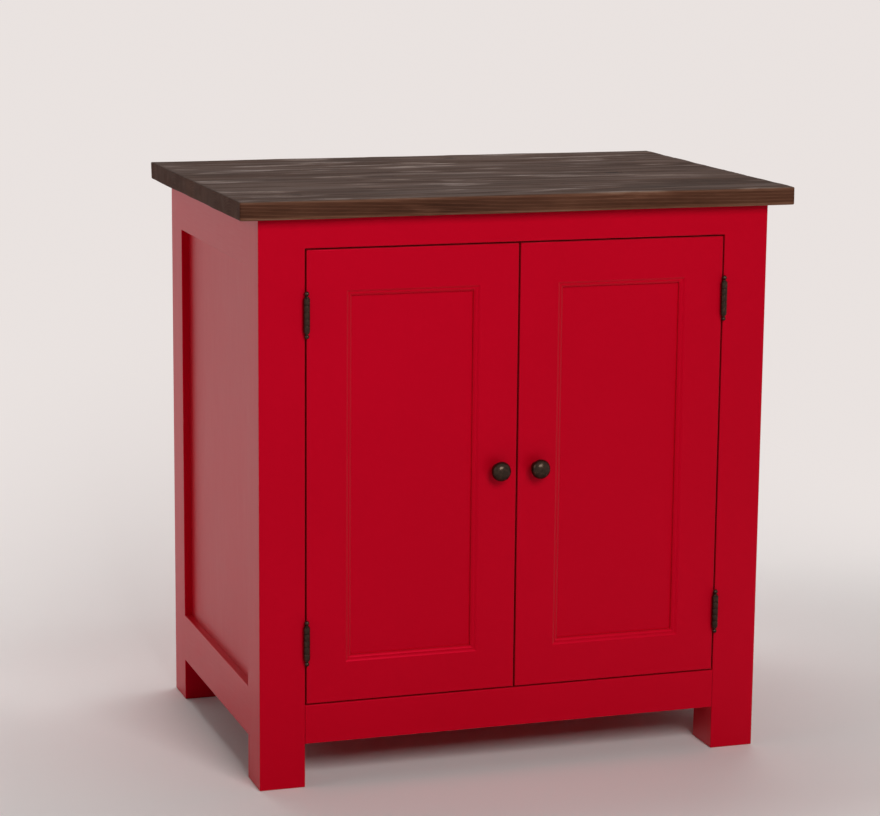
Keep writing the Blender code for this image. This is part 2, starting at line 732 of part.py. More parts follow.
def screw_profile():
    """A pan-head screw that comes through the stile from behind, its head at the origin."""
    shank_end = DOOR_THICKNESS + FIT_GAP + SCREW_BITE
    return [
        (0.0, shank_end),
        (SCREW_RADIUS, shank_end),
        (SCREW_RADIUS, -FIT_GAP),
        (SCREW_HEAD_RADIUS, -FIT_GAP),
        (SCREW_HEAD_RADIUS, -FIT_GAP - SCREW_HEAD_HEIGHT * SCREW_HEAD_EDGE_SHARE),
        (SCREW_HEAD_RADIUS * SCREW_HEAD_CROWN_SHARE, -FIT_GAP - SCREW_HEAD_HEIGHT),
        (0.0, -FIT_GAP - SCREW_HEAD_HEIGHT),
    ]


def build_door(label, side):
    """One inset door: stiles, rails, panel, knob and strike plate. Returns its hinge stile."""
    carrier = DOORS[side]
    name = f"{label}_door"
    hinge_stile, hinge_shadow = stile(f"{name}_hinge_stile", side * HINGE_EDGE_X, -side, carrier)
    meeting_stile, meeting_shadow = stile(f"{name}_meeting_stile", side * MEETING_X, side, carrier)
    reach = MEMBER_WIDTH - GROOVE_DEPTH + FIT_GAP
    span = sorted((side * (MEETING_X + reach), side * (HINGE_EDGE_X - reach)))
    shadows = (hinge_shadow, meeting_shadow)
    door_rail(f"{name}_top_rail", DOOR_TOP, -1, span, shadows, carrier)
    door_rail(f"{name}_bottom_rail", DOOR_BOTTOM, 1, span, shadows, carrier)
    inset = MEMBER_WIDTH - GROOVE_DEPTH + GROOVE_PLAY
    panel_front = FRONT_Y + MOULDING_DEPTH + FIT_GAP
    board(
        f"{name}_panel",
        (side * (MEETING_X + inset), panel_front, DOOR_BOTTOM + inset),
        (side * (HINGE_EDGE_X - inset), panel_front + DOOR_PANEL_THICKNESS, DOOR_TOP - inset),
        carrier,
    )
    hole = helper(
        f"{name}_knob_hole",
        rod_mesh(SCREW_RADIUS + FIT_GAP, DOOR_THICKNESS + 2 * CUT_OVERRUN, PIN_STEPS, ALONG_Y),
        (side * KNOB_X, FRONT_Y + DOOR_THICKNESS / 2, KNOB_Z),
    )
    use(meeting_stile, hole, "DIFFERENCE")
    foot = (side * KNOB_X, FRONT_Y, KNOB_Z)
    behind = (side * KNOB_X, DOOR_BACK_Y, KNOB_Z)
    turned(f"{name}_knob", knob_profile(), KNOB_STEPS, foot, BRONZE, carrier, FACING_FRONT)
    turned(f"{name}_knob_screw", screw_profile(), PIN_STEPS, behind, STEEL, carrier, FACING_FRONT)
    board(
        f"{name}_strike_plate",
        (side * (CATCH_WIDTH / 4 - STRIKE_WIDTH / 2), DOOR_BACK_Y + FIT_GAP, CATCH_TOP - STRIKE_HEIGHT),
        (side * (CATCH_WIDTH / 4 + STRIKE_WIDTH / 2), STRIKE_BACK_Y, CATCH_TOP),
        carrier,
        "Y",
        STEEL,
        STRIKE_CORNER,
    )
    return hinge_stile


# Hinges
def hinge_leaf(name, side, towards, bottom, notches, carrier):
    """A leaf rolled round the pin, notched where the other leaf's knuckles lie.

    towards is the X direction from the pin to the wood that the leaf is screwed to.
    """
    low, high = sorted_corners(
        (side * HINGE_X + towards * FIT_GAP, HINGE_Y + BARREL_RADIUS * PLATE_START_SHARE, bottom),
        (side * HINGE_X + towards * LEAF_OUTER_FACE, HINGE_Y + LEAF_WIDTH, bottom + LEAF_HEIGHT),
    )
    leaf = piece(name, box_mesh(high - low, "X", LEAF_CORNER), (low + high) / 2, BRONZE, carrier)
    axis_middle = (side * HINGE_X, HINGE_Y, bottom + LEAF_HEIGHT / 2)
    barrel_mesh = rod_mesh(BARREL_RADIUS, LEAF_HEIGHT - FIT_GAP, KNUCKLE_STEPS, UPRIGHT)
    use(leaf, helper(f"{name}_barrel", barrel_mesh, axis_middle), "UNION")
    pitch = LEAF_HEIGHT / KNUCKLES
    reach = BARREL_RADIUS + CUT_OVERRUN
    for index in notches:
        below = FIT_GAP / 2 if index else CUT_OVERRUN
        above = FIT_GAP / 2 if index < KNUCKLES - 1 else CUT_OVERRUN
        low_z = bottom + index * pitch - below
        high_z = bottom + (index + 1) * pitch + above
        cut_box(
            leaf,
            f"{name}_notch_{index}",
            (side * HINGE_X - reach, HINGE_Y - reach, low_z),
            (side * HINGE_X + reach, HINGE_Y + BARREL_RADIUS + FIT_GAP, high_z),
        )
    bore_mesh = rod_mesh(PIN_RADIUS + FIT_GAP, LEAF_HEIGHT + 2 * CUT_OVERRUN, KNUCKLE_STEPS, UPRIGHT)
    use(leaf, helper(f"{name}_bore", bore_mesh, axis_middle), "DIFFERENCE")
    return leaf


def hinge_screw_profile():
    """A wood screw whose low crowned head lies in its countersink, its point down."""
    return [
        (0.0, HINGE_SCREW_CROWN),
        (HINGE_SCREW_HEAD_RADIUS - HINGE_SCREW_CROWN, HINGE_SCREW_CROWN),
        (HINGE_SCREW_HEAD_RADIUS, -HINGE_SCREW_CROWN),
        (HINGE_SCREW_RADIUS, HINGE_SCREW_RADIUS - HINGE_SCREW_HEAD_RADIUS - HINGE_SCREW_CROWN),
        (HINGE_SCREW_RADIUS, HINGE_SCREW_POINT - HINGE_SCREW_LENGTH),
        (0.0, -HINGE_SCREW_LENGTH),
    ]


def screw_leaf_on(leaf, wood, side, towards, bottom):
    """Two screws fused with a leaf, with their slots, and pilot holes in the wood behind it."""
    face = side * HINGE_X + towards * FIT_GAP
    pilot_length = HINGE_SCREW_LENGTH + FIT_GAP
    start = bottom + (LEAF_HEIGHT - HINGE_SCREW_SPACING) / 2
    for z in (start, start + HINGE_SCREW_SPACING):
        place = Vector((face, HINGE_SCREW_Y, z))
        screw = helper(f"{leaf.name}_screw", turned_mesh(hinge_screw_profile(), HINGE_SCREW_STEPS), place)
        screw.rotation_euler = (0.0, -towards * math.radians(90.0), 0.0)
        use(leaf, screw, "UNION")
        half_slot = Vector(
            (SCREW_SLOT_DEPTH, SCREW_SLOT_WIDTH / 2, HINGE_SCREW_HEAD_RADIUS * SCREW_SLOT_LENGTH_SHARE)
        )
        cut_box(leaf, f"{leaf.name}_slot", place - half_slot, place + half_slot)
        pilot = helper(
            f"{wood.name}_pilot",
            rod_mesh(HINGE_SCREW_RADIUS + FIT_GAP, pilot_length, HINGE_SCREW_STEPS, ALONG_X),
            (face + towards * pilot_length / 2, HINGE_SCREW_Y, z),
        )
        use(wood, pilot, "DIFFERENCE")


def cut_leaf_seat(target, side, towards, bottom):
    """A shallow seat in the wood, so that the leaf lies flush with it or nearly so."""
    seat_face = side * HINGE_X + towards * (LEAF_OUTER_FACE + FIT_GAP)
    cut_box(
        target,
        target.name + "_leaf_seat",
        (side * HINGE_X, FRONT_Y - CUT_OVERRUN, bottom - FIT_GAP),
        (seat_face, HINGE_Y + LEAF_WIDTH + FIT_GAP, bottom + LEAF_HEIGHT + FIT_GAP),
    )


def pin_profile():
    """A hinge pin with a ball on each end, about its own middle."""
    half = LEAF_HEIGHT / 2 + FIT_GAP
    neck_top = half + FINIAL_COLLAR_HEIGHT + FINIAL_NECK_HEIGHT
    ball_drop = math.sqrt(FINIAL_RADIUS**2 - FINIAL_NECK_RADIUS**2)
    start = math.degrees(math.asin(ball_drop / FINIAL_RADIUS))
    ball = arc((0.0, neck_top + ball_drop), FINIAL_RADIUS, FINIAL_RADIUS, 90.0, -start, FINIAL_SEGMENTS)
    ball[0] = (0.0, ball[0][1])
    upper = ball + [
        (FINIAL_NECK_RADIUS, half + FINIAL_COLLAR_HEIGHT),
        (FINIAL_RADIUS, half + FINIAL_COLLAR_HEIGHT),
        (FINIAL_RADIUS, half),
        (PIN_RADIUS, half),
    ]
    return upper + [(radius, -height) for radius, height in reversed(upper)]


def build_hinges(label, side, post_piece, stile_piece):
    """Two ball-tipped butt hinges between a post and a door's hinge stile."""
    for place, bottom in (("upper", UPPER_HINGE_BOTTOM), ("lower", LOWER_HINGE_BOTTOM)):
        name = f"{label}_{place}_hinge"
        post_leaf = hinge_leaf(f"{name}_post_leaf", side, side, bottom, range(1, KNUCKLES, 2), CARCASS)
        door_leaf = hinge_leaf(f"{name}_door_leaf", side, -side, bottom, range(0, KNUCKLES, 2), DOORS[side])
        cut_leaf_seat(post_piece, side, side, bottom)
        cut_leaf_seat(stile_piece, side, -side, bottom)
        screw_leaf_on(post_leaf, post_piece, side, side, bottom)
        screw_leaf_on(door_leaf, stile_piece, side, -side, bottom)
        turned(
            f"{name}_pin",
            pin_profile(),
            PIN_STEPS,
            (side * HINGE_X, HINGE_Y, bottom + LEAF_HEIGHT / 2),
            BRONZE,
            CARCASS,
        )


# Door stop and catch
def build_stop():
    """A strip behind the top rail that both doors close against, with a double magnetic catch."""
    span = HALF_OPENING - FIT_GAP
    board(
        "door_stop",
        (-span, STOP_FRONT_Y, STOP_BOTTOM),
        (span, STOP_BACK_Y, BODY_HEIGHT - FIT_GAP),
        CARCASS,
        "X",
    )
    bottom = CATCH_TOP - CATCH_HEIGHT
    back = CATCH_FRONT_Y + CATCH_DEPTH
    catch = board(
        "door_catch",
        (-CATCH_WIDTH / 2, CATCH_FRONT_Y, bottom),
        (CATCH_WIDTH / 2, back, CATCH_TOP),
        CARCASS,
        "XYZ",
        CATCH_PLASTIC,
        ARRIS / 2,
    )
    ears = box_tool(
        "door_catch_ears",
        (-CATCH_WIDTH / 2 - CATCH_EAR, CATCH_FRONT_Y + POLE_PROUD, CATCH_TOP - CATCH_EAR_THICKNESS),
        (CATCH_WIDTH / 2 + CATCH_EAR, back - POLE_PROUD, CATCH_TOP),
    )
    use(catch, ears, "UNION")
    for side in (-1, 1):
        hole = helper(
            "door_catch_hole",
            rod_mesh(CATCH_HOLE_RADIUS, CATCH_EAR_THICKNESS + 2 * CUT_OVERRUN, PEG_STEPS, UPRIGHT),
            (side * (CATCH_WIDTH + CATCH_EAR) / 2, (CATCH_FRONT_Y + back) / 2, CATCH_TOP),
        )
        use(catch, hole, "DIFFERENCE")
        for apart in (-1, 1):
            pole_x = side * CATCH_WIDTH / 4 + apart * POLE_SPREAD / 2
            pole_low = CATCH_TOP - (CATCH_HEIGHT + POLE_HEIGHT) / 2
            pole = box_tool(
                "door_catch_pole",
                (pole_x - POLE_THICKNESS / 2, CATCH_FRONT_Y - POLE_PROUD, pole_low),
                (pole_x + POLE_THICKNESS / 2, CATCH_FRONT_Y + JOIN_OVERLAP, pole_low + POLE_HEIGHT),
            )
            use(catch, pole, "UNION")


frame_pieces = build_frame()
build_panels(frame_pieces)
build_inside(frame_pieces)
build_worktop()
for door_label, door_side in SIDES:
    hinge_member = build_door(door_label, door_side)
    build_hinges(door_label, door_side, frame_pieces[f"front_{door_label}"], hinge_member)
build_stop()
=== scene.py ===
"""Looks of a painted kitchen cupboard: finer pieces, materials, light and camera.

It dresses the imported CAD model. Lengths are metres, +Z is up and the doors face -Y. What is
made here stands in its place in the world at rest, with its object at the origin.
"""

import functools
import json
import math

import bmesh
import bpy
import numpy as np
from mathutils import Matrix, Vector, noise

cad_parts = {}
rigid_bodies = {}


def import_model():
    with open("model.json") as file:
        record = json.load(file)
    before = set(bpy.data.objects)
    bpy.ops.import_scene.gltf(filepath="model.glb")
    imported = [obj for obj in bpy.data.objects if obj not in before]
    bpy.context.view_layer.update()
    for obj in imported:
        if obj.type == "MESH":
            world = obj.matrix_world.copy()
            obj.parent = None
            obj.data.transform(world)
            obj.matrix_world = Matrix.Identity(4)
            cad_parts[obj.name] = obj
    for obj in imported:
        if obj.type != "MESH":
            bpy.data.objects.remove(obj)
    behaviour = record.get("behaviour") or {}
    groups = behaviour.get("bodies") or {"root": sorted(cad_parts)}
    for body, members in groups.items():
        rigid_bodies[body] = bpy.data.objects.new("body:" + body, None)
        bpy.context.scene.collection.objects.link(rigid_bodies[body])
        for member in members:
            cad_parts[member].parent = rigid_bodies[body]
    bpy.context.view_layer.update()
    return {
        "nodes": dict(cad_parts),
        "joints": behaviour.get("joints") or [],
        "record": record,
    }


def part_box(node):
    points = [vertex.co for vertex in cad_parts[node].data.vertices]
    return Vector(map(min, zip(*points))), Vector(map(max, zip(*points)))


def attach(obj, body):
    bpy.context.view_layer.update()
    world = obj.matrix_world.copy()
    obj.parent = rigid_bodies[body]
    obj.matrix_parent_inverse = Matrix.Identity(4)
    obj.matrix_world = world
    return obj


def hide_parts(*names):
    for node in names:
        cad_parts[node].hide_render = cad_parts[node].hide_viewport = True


# Camera, fitted to the corners of the cupboard in the photograph
LONG_SIDE_PIXELS = 880
FOCAL_PIXELS = 2731.56
SENSOR_WIDTH_MM = 36.0
CAMERA_PLACE = (-1.37253, -4.04283, 1.33037)
CAMERA_YAW = -0.31973
CAMERA_PITCH = -0.18955
CAMERA_ROLL = 0.00913

# Floor and backdrop, one sheet that turns up behind the cupboard
SHEET_REACH = 12.0
WALL_Y = 1.3
WALL_TOP = 1.9
COVE_RADIUS = 0.55
COVE_STEPS = 24
FADE_SHARES = (1.0, 1.4, 1.0)
FADE_START = 0.85
FADE_END = 1.95
FLOOR_COLOUR = (0.87, 0.83, 0.815)
WALL_COLOUR = (0.93, 0.92, 0.91)
SHEET_ROUGHNESS = 0.8
SHEET_IOR = 1.05
FLOOR_DROP = 0.0003

# Light. Each lamp has its place, the point that it faces, its width and height, and its watts.
WORLD_COLOUR = (1.0, 0.933, 0.909)
WORLD_LIGHT = 0.060
WORLD_SEEN = 0.82
LAMPS = {
    "key": ((0.1, -3.3, 2.2), (0.0, 0.0, 0.50), (1.5, 1.3), 68.0),
    "side": ((-3.2, -0.4, 2.0), (-0.8, 0.6, 0.2), (1.6, 1.6), 10.5),
    "overhead": ((0.1, 0.6, 2.7), (0.0, 0.1, 0.88), (1.8, 0.9), 28.0),
}

# Shapes at large
QUARTER_TURN = math.radians(90.0)
SHARP_ANGLE = math.radians(34.0)
FLAT_ANGLE = math.radians(0.5)
EDGE_ANGLE = math.radians(30.0)
GRID_DIGITS = 5
EASE_SEGMENTS = 2
ROUND_SEGMENTS = 3
FIT_GAP = 0.0003
OVERRUN = 0.004
CUT_REACH = 0.00003

# Painted woodwork
ARRIS = 0.0014
ARRIS_SEGMENTS = 3
MEMBER_FLAT = 0.060
BEVEL_WIDTHS = (0.0036, 0.0034)
STRIP_WIDTH = 0.00185
PANEL_DEPTH = 0.0080
BEVEL_TILTS = (math.radians(24.0), math.radians(42.0))
NOSE_RADIUS = 0.00045
NOSE_TILT = math.radians(85.0)
DROP_RUN = 0.0002
MOULDING_SEGMENTS = 6
BACK_ARRIS = 0.0010
CAD_EASE = 0.0005
JOINT_LINE_WIDTH = 0.0006
JOINT_LINE_DEPTH = 0.0025

# Shelf pegs and their holes. Their steps round are those of the screw heads too.
PEG_HOLE_RADIUS = 0.0028
PEG_HOLE_DEPTH = 0.0123
PEG_HOLE_PITCH = 0.050
PEG_ROWS = (-1, 0, 1)
PEG_EASE_SHARE = 1 / 3
PEG_NOSE_SEGMENTS = 4
SMALL_STEPS = 32

# Worktop boards: lattice, easing and brushed relief. Noise is followed between the limits given.
LATTICE_STEP = (0.0085, 0.0020, 0.0035)
WORKTOP_ARRIS = 0.0025
ARRIS_LINES = (0.0, 0.5)
TOP_DEPTH = 0.0025
RELIEF = 0.00030
SCRAPE_RELIEF = 0.00055
SCRAPE_SCALE = (4.5, 55.0, 55.0)
SCRAPE_LIMITS = (-0.45, 0.45)
SCRAPE_MEAN = 0.5
# Glints: glossy spots on the top that are also painted lighter, a painted highlight.
GLINT_SCALE = (9.5, 38.0, 38.0)
GLINT_LIMITS = (0.22, 0.50)
END_DEPTH = 0.004
END_CALM_SHARE = 0.6
END_RELIEF = 0.0009
END_SCALE = (17.0, 17.0, 17.0)
END_LIMITS = (-0.5, 0.5)
JOINT_DIP = 0.00035
JOINT_WIDTH = 0.0010
RING_PITCH = 0.0044
GRAIN_SEED = 5
GLINT_SEED = 10.0
WAVE_SEEDS = 50.0
PITH_DEPTH = (0.055, 0.120)
PITH_OFFSET = 0.030
PITH_RISE = 0.045
PITH_WANDER = 0.006
PITH_WAVES = 5.0
WAVE_HEIGHT = 0.0045
WAVE_SCALE = (3.5, 22.0, 22.0)
LATE_WOOD = (0.50, 0.86)
LATE_WOOD_END = (0.92, 1.0)
KNOTS = (
    (0.240, -0.030, 0.0075),
    (-0.205, 0.118, 0.0060),
    (-0.330, -0.215, 0.0065),
    (0.060, 0.240, 0.0070),
    (0.345, 0.145, 0.0050),
    (0.105, -0.170, 0.0045),
)
KNOT_LENGTH_SHARE = 4.2
KNOT_WIDTH_SHARE = 1.9
KNOT_LIFT_SHARE = 1.7
KNOT_CORE_LENGTH_SHARE = 1.4
KNOT_CORE_SHARES = (0.55, 1.05)
BOARD_MARKS = ("ring", "knot", "scrape", "glint", "end", "wear_and_painted_highlight", "up")

# Hinges
BARREL_RADIUS = 0.0048
BARREL_EASE = 0.00045
BARREL_STEPS = 40
KNUCKLES = 5
LEAF_THICKNESS = 0.0016
LEAF_CORNER = 0.0025
LEAF_CORNER_SEGMENTS = 6
LEAF_EASE = 0.0003
TONGUE_START_SHARE = 0.35
COLLAR_HEIGHT = 0.0018
NECK_RADIUS = 0.0018
NECK_HEIGHT = 0.0012
BALL_RADIUS = 0.0036
BALL_SEGMENTS = 12
LEAF_SCREW_SPACING = 0.026
LEAF_SCREW_HEAD_RADIUS = 0.0032
LEAF_SCREW_CROWN = 0.00022
CROWN_SEGMENTS = 6
SLOT_WIDTH = 0.0008
SLOT_DEPTH = 0.0007
SLOT_TURNS = (12.0, -34.0, 71.0, -8.0, 40.0, -62.0, 25.0, -19.0)

# Knobs and their screws. The pairs are shares of the radius named and of the reach.
KNOB_REACH = 0.0280
KNOB_HEAD_RADIUS = 0.0150
KNOB_NECK_RADIUS = 0.0058
KNOB_FOOT_RADIUS = 0.0090
KNOB_HEAD_SHARES = (
    (0.00, 1.000),
    (0.30, 0.985),
    (0.56, 0.945),
    (0.78, 0.870),
    (0.93, 0.770),
    (1.00, 0.655),
    (0.97, 0.565),
    (0.84, 0.500),
    (0.62, 0.455),
)
KNOB_NECK_SHARES = ((1.12, 0.400), (1.00, 0.300), (1.10, 0.190))
KNOB_FOOT_SHARES = ((0.86, 0.125), (0.98, 0.100), (1.00, 0.060), (1.00, 0.0))
CURVE_STEPS = 5
KNOB_STEPS = 64
SCREW_HEAD_RADIUS = 0.0040
SCREW_HEAD_HEIGHT = 0.0022
DOME_SHARE = 0.65
DOME_SEGMENTS = 8
CROSS_LENGTH = 0.0046
CROSS_WIDTH = 0.0009
CROSS_DEPTH = 0.0013

# Materials. A pattern is the scale, detail, roughness and distortion of noise, and its ALONG is
# the share of that scale along the grain. Colours are stops of position and colour. A range is
# what 0 and 1 turn into, or in a range of four what its last two turn into. Heights are of bumps.
PAINT_COLOURS = ((0.30, (0.47, 0.0003, 0.0097)), (0.70, (0.50, 0.0003, 0.0112)))
PAINT_TINT = (1.0, 0.015, 0.07, 1.0)
PAINT_IOR = 1.90
PAINT_SHEEN = 0.05
PAINT_SHEEN_TINT = (1.0, 0.62, 0.62, 1.0)
PAINT_SHEEN_ROUGHNESS = 0.35
PAINT_CLOUDS = (3.0, 3.0)
PAINT_BRUSH = (700.0, 2.0)
PAINT_BRUSH_ALONG = 0.02
PAINT_GRAIN = (130.0, 3.0, 0.55, 0.4)
PAINT_GRAIN_ALONG = 0.035
PAINT_SKIN = (420.0, 2.0)
PAINT_SAG = (26.0, 1.0)
PAINT_ROUGHNESS = {"brush": (0.35, 0.43), "clouds": (-0.02, 0.04)}
PAINT_SAG_HEIGHT = 0.00022
PAINT_GRAIN_HEIGHT = 0.000030
PAINT_BRUSH_HEIGHT = 0.000007
# The top's colours are a darker, greyer copy of the sides': painted shade for how the top is lit.
WOOD_SHADED_TOP_COLOURS = (
    (0.02, (0.012, 0.007, 0.005)),
    (0.26, (0.029, 0.0165, 0.0115)),
    (0.50, (0.047, 0.027, 0.0195)),
    (0.74, (0.076, 0.048, 0.036)),
    (1.00, (0.165, 0.117, 0.095)),
)
WOOD_SIDE_COLOURS = (
    (0.02, (0.018, 0.008, 0.005)),
    (0.26, (0.054, 0.019, 0.0095)),
    (0.50, (0.094, 0.036, 0.019)),
    (0.74, (0.142, 0.060, 0.034)),
    (1.00, (0.230, 0.125, 0.080)),
)
WOOD_TOP_SHARE = 0.85
WOOD_IOR = 1.17
WOOD_FIBRE = (1100.0, 3.0, 0.6)
WOOD_FIBRE_ALONG = 0.022
WOOD_STREAK = (210.0, 3.0, 0.6, 0.3)
WOOD_STREAK_ALONG = 0.10
WOOD_PATCHES = (11.0, 2.0)
WOOD_PATCHES_ALONG = 0.45
WOOD_WOBBLE = (-0.00035, 0.00035)
# The painted glints are kept to the top and broken up by the streaks.
WOOD_GLINT_UP = (0.4, 1.0)
WOOD_GLINT_STREAK = (0.15, 1.45, 0.34, 0.66)
WOOD_TONE = {
    "late": (0.0, 0.18),
    "streak": (0.10, 0.50),
    "fibre": (-0.09, 0.09),
    "patches": (-0.20, 0.18),
    "scrape": (0.0, 0.12),
    # wear, and a painted highlight along the eased edges
    "wear_and_painted_highlight": (0.0, 0.34),
    # painted highlight: the glints lighten the colour
    "glint": (0.0, 0.30),
    "knot": (0.0, -0.55),
    "end": (0.0, -0.12),
}
WOOD_ROUGHNESS = {"streak": (0.82, 0.70), "scrape": (0.0, -0.16), "glint": (0.0, -0.26)}
WOOD_STREAK_SHARE = 0.8
WOOD_END_SHARES = (1.0, 0.25)
WOOD_RING_HEIGHT = 0.00030
WOOD_FIBRE_HEIGHT = 0.00012
BRONZE_COLOURS = (
    (0.35, (0.026, 0.017, 0.012)),
    (0.58, (0.043, 0.026, 0.018)),
    (0.75, (0.090, 0.048, 0.030)),
)
BRONZE_METALLIC = 0.9
BRONZE_PATCHES = (240.0, 4.0, 0.6)
BRONZE_PITS = (1500.0, 2.0)
BRONZE_ROUGHNESS = (0.22, 0.30)
BRONZE_PIT_HEIGHT = 0.00001
ZINC_COLOURS = ((0.30, (0.34, 0.35, 0.36)), (0.70, (0.48, 0.48, 0.46)))
ZINC_MARKS = (2600.0, 2.0)
ZINC_MARKS_ALONG = 0.06
ZINC_PATCHES = (300.0, 3.0)
ZINC_ROUGHNESS = {"marks": (0.18, 0.34), "patches": (0.0, 0.10)}
ZINC_MARK_HEIGHT = 0.000012
PLASTIC_COLOURS = ((0.30, (0.040, 0.020, 0.012)), (0.70, (0.058, 0.030, 0.018)))
PLASTIC_TEXTURE = (2300.0, 3.0)
PLASTIC_PATCHES = (120.0, 2.0)
PLASTIC_ROUGHNESS = (0.36, 0.54)
PLASTIC_TEXTURE_HEIGHT = 0.00002


# Short ways to build node trees
class Graph:
    """The node tree of a new material."""

    def __init__(self, name):
        self.material = bpy.data.materials.new(name)
        self.material.use_nodes = True
        self.tree = self.material.node_tree
        self.shader = self.tree.nodes["Principled BSDF"]
        self.place = self.node("ShaderNodeTexCoord").outputs["Object"]

    def node(self, kind, inputs=(), **settings):
        """A node with its settings. Inputs go by name or number, each a value or a socket."""
        made = self.tree.nodes.new(kind)
        for key, value in settings.items():
            setattr(made, key, value)
        for key, value in dict(inputs).items():
            self.feed(made.inputs[key], value)
        return made

    def feed(self, socket, value):
        """Links a socket to another one, or gives it a value."""
        if isinstance(value, bpy.types.NodeSocket):
            self.tree.links.new(value, socket)
        else:
            socket.default_value = value

    def mark(self, key):
        """A number that the mesh carries at its points."""
        return self.node("ShaderNodeAttribute", attribute_name=key).outputs["Fac"]

    def maths(self, operation, *values):
        return self.node("ShaderNodeMath", enumerate(values), operation=operation).outputs[0]

    def noise(self, vector, scale, detail, roughness=0.5, distortion=0.0):
        inputs = {
            "Vector": vector,
            "Scale": scale,
            "Detail": detail,
            "Roughness": roughness,
            "Distortion": distortion,
        }
        return self.node("ShaderNodeTexNoise", inputs).outputs["Fac"]

    def stretched(self, shares):
        """The place on the object, with each part multiplied by a share."""
        inputs = {0: self.place, 1: shares}
        return self.node("ShaderNodeVectorMath", inputs, operation="MULTIPLY").outputs[0]

    def along(self, axis, share, pattern):
        """Noise whose scale along an axis is multiplied by a share."""
        shares = tuple(share if index == axis else 1.0 for index in range(3))
        return self.noise(self.stretched(shares), *pattern)

    def between(self, value, low, high, start=0.0, end=1.0, smooth=False):
        """The stretch of a value from start to end, turned into low to high."""
        inputs = {"Value": value, "From Min": start, "From Max": end, "To Min": low, "To Max": high}
        kind = "SMOOTHSTEP" if smooth else "LINEAR"
        made = self.node("ShaderNodeMapRange", inputs, interpolation_type=kind)
        return made.outputs["Result"]

    def total(self, ranges, values):
        """The sum of named values, each turned into the range of its name."""
        parts = [self.between(values[key], *ends) for key, ends in ranges.items()]
        return functools.reduce(lambda whole, part: self.maths("ADD", whole, part), parts)

    def ramp(self, value, stops):
        """A value turned into a colour by stops of position and colour."""
        made = self.node("ShaderNodeValToRGB", {"Fac": value})
        elements = made.color_ramp.elements
        elements.remove(elements[1])
        elements[0].position = stops[0][0]
        elements[0].color = (*stops[0][1], 1.0)
        for position, colour in stops[1:]:
            elements.new(position).color = (*colour, 1.0)
        return made.outputs["Color"]

    def mixed(self, share, one, other):
        """Two colours mixed by a share. The colour sockets of a mix node are 6, 7 and 2."""
        inputs = {"Factor": share, 6: one, 7: other}
        return self.node("ShaderNodeMix", inputs, data_type="RGBA").outputs[2]

    def bump(self, height, distance, below=None):
        """The normal of a surface with that height, on top of another bump's normal."""
        inputs = {"Height": height, "Distance": distance}
        if below is not None:
            inputs["Normal"] = below
        return self.node("ShaderNodeBump", inputs).outputs["Normal"]

    def finish(self, **sockets):
        """Sets the shader's sockets, named with _ for each space, and gives the material."""
        for key, value in sockets.items():
            self.feed(self.shader.inputs[key.replace("_", " ")], value)
        return self.material


# Materials
def red_paint(name, axis):
    """Satin paint, brushed on along an axis, over wood whose grain shows very faintly."""
    g = Graph(name)
    clouds = g.noise(g.place, *PAINT_CLOUDS)
    brush = g.along(axis, PAINT_BRUSH_ALONG, PAINT_BRUSH)
    grain = g.along(axis, PAINT_GRAIN_ALONG, PAINT_GRAIN)
    skin = g.noise(g.place, *PAINT_SKIN)
    normal = g.bump(g.noise(g.place, *PAINT_SAG), PAINT_SAG_HEIGHT)
    normal = g.bump(grain, PAINT_GRAIN_HEIGHT, normal)
    normal = g.bump(g.maths("ADD", brush, skin), PAINT_BRUSH_HEIGHT, normal)
    return g.finish(
        Base_Color=g.ramp(clouds, PAINT_COLOURS),
        Roughness=g.total(PAINT_ROUGHNESS, {"brush": brush, "clouds": clouds}),
        IOR=PAINT_IOR,
        Specular_Tint=PAINT_TINT,
        Sheen_Weight=PAINT_SHEEN,
        Sheen_Roughness=PAINT_SHEEN_ROUGHNESS,
        Sheen_Tint=PAINT_SHEEN_TINT,
        Normal=normal,
    )


def stained_wood(name):
    """Brushed pine with a dark stain. Its rings, knots, wear, painted edge highlights and painted
    glints come with the mesh.
    """
    g = Graph(name)
    parts = {key: g.mark(key) for key in BOARD_MARKS}
    fibre = g.along(0, WOOD_FIBRE_ALONG, WOOD_FIBRE)
    streak = g.along(0, WOOD_STREAK_ALONG, WOOD_STREAK)
    patches = g.along(0, WOOD_PATCHES_ALONG, WOOD_PATCHES)
    # Glints are glossier, and on the top they also lighten the colour: a painted highlight.
    glint = g.maths("MULTIPLY", parts["glint"], g.between(parts["up"], *WOOD_GLINT_UP))
    glint = g.maths("MULTIPLY", glint, g.between(streak, *WOOD_GLINT_STREAK))
    ring = g.maths("ADD", parts["ring"], g.between(fibre, *WOOD_WOBBLE))
    phase = g.maths("FRACT", g.maths("DIVIDE", ring, RING_PITCH))
    rise = g.between(phase, 0.0, 1.0, *LATE_WOOD, smooth=True)
    fall = g.between(phase, 1.0, 0.0, *LATE_WOOD_END, smooth=True)
    late = g.maths("MULTIPLY", rise, fall)
    parts.update(fibre=fibre, streak=streak, patches=patches, glint=glint, late=late)
    tone = g.total(WOOD_TONE, parts)
    # The top takes darker colours than the sides: painted shade.
    share = g.between(parts["up"], 0.0, WOOD_TOP_SHARE)
    colour = g.mixed(share, g.ramp(tone, WOOD_SIDE_COLOURS), g.ramp(tone, WOOD_SHADED_TOP_COLOURS))
    height = g.maths("ADD", late, g.maths("MULTIPLY", streak, WOOD_STREAK_SHARE))
    height = g.maths("MULTIPLY", height, g.between(parts["end"], *WOOD_END_SHARES))
    normal = g.bump(fibre, WOOD_FIBRE_HEIGHT, g.bump(height, WOOD_RING_HEIGHT))
    return g.finish(
        Base_Color=colour,
        Roughness=g.total(WOOD_ROUGHNESS, parts),
        IOR=WOOD_IOR,
        Normal=normal,
    )


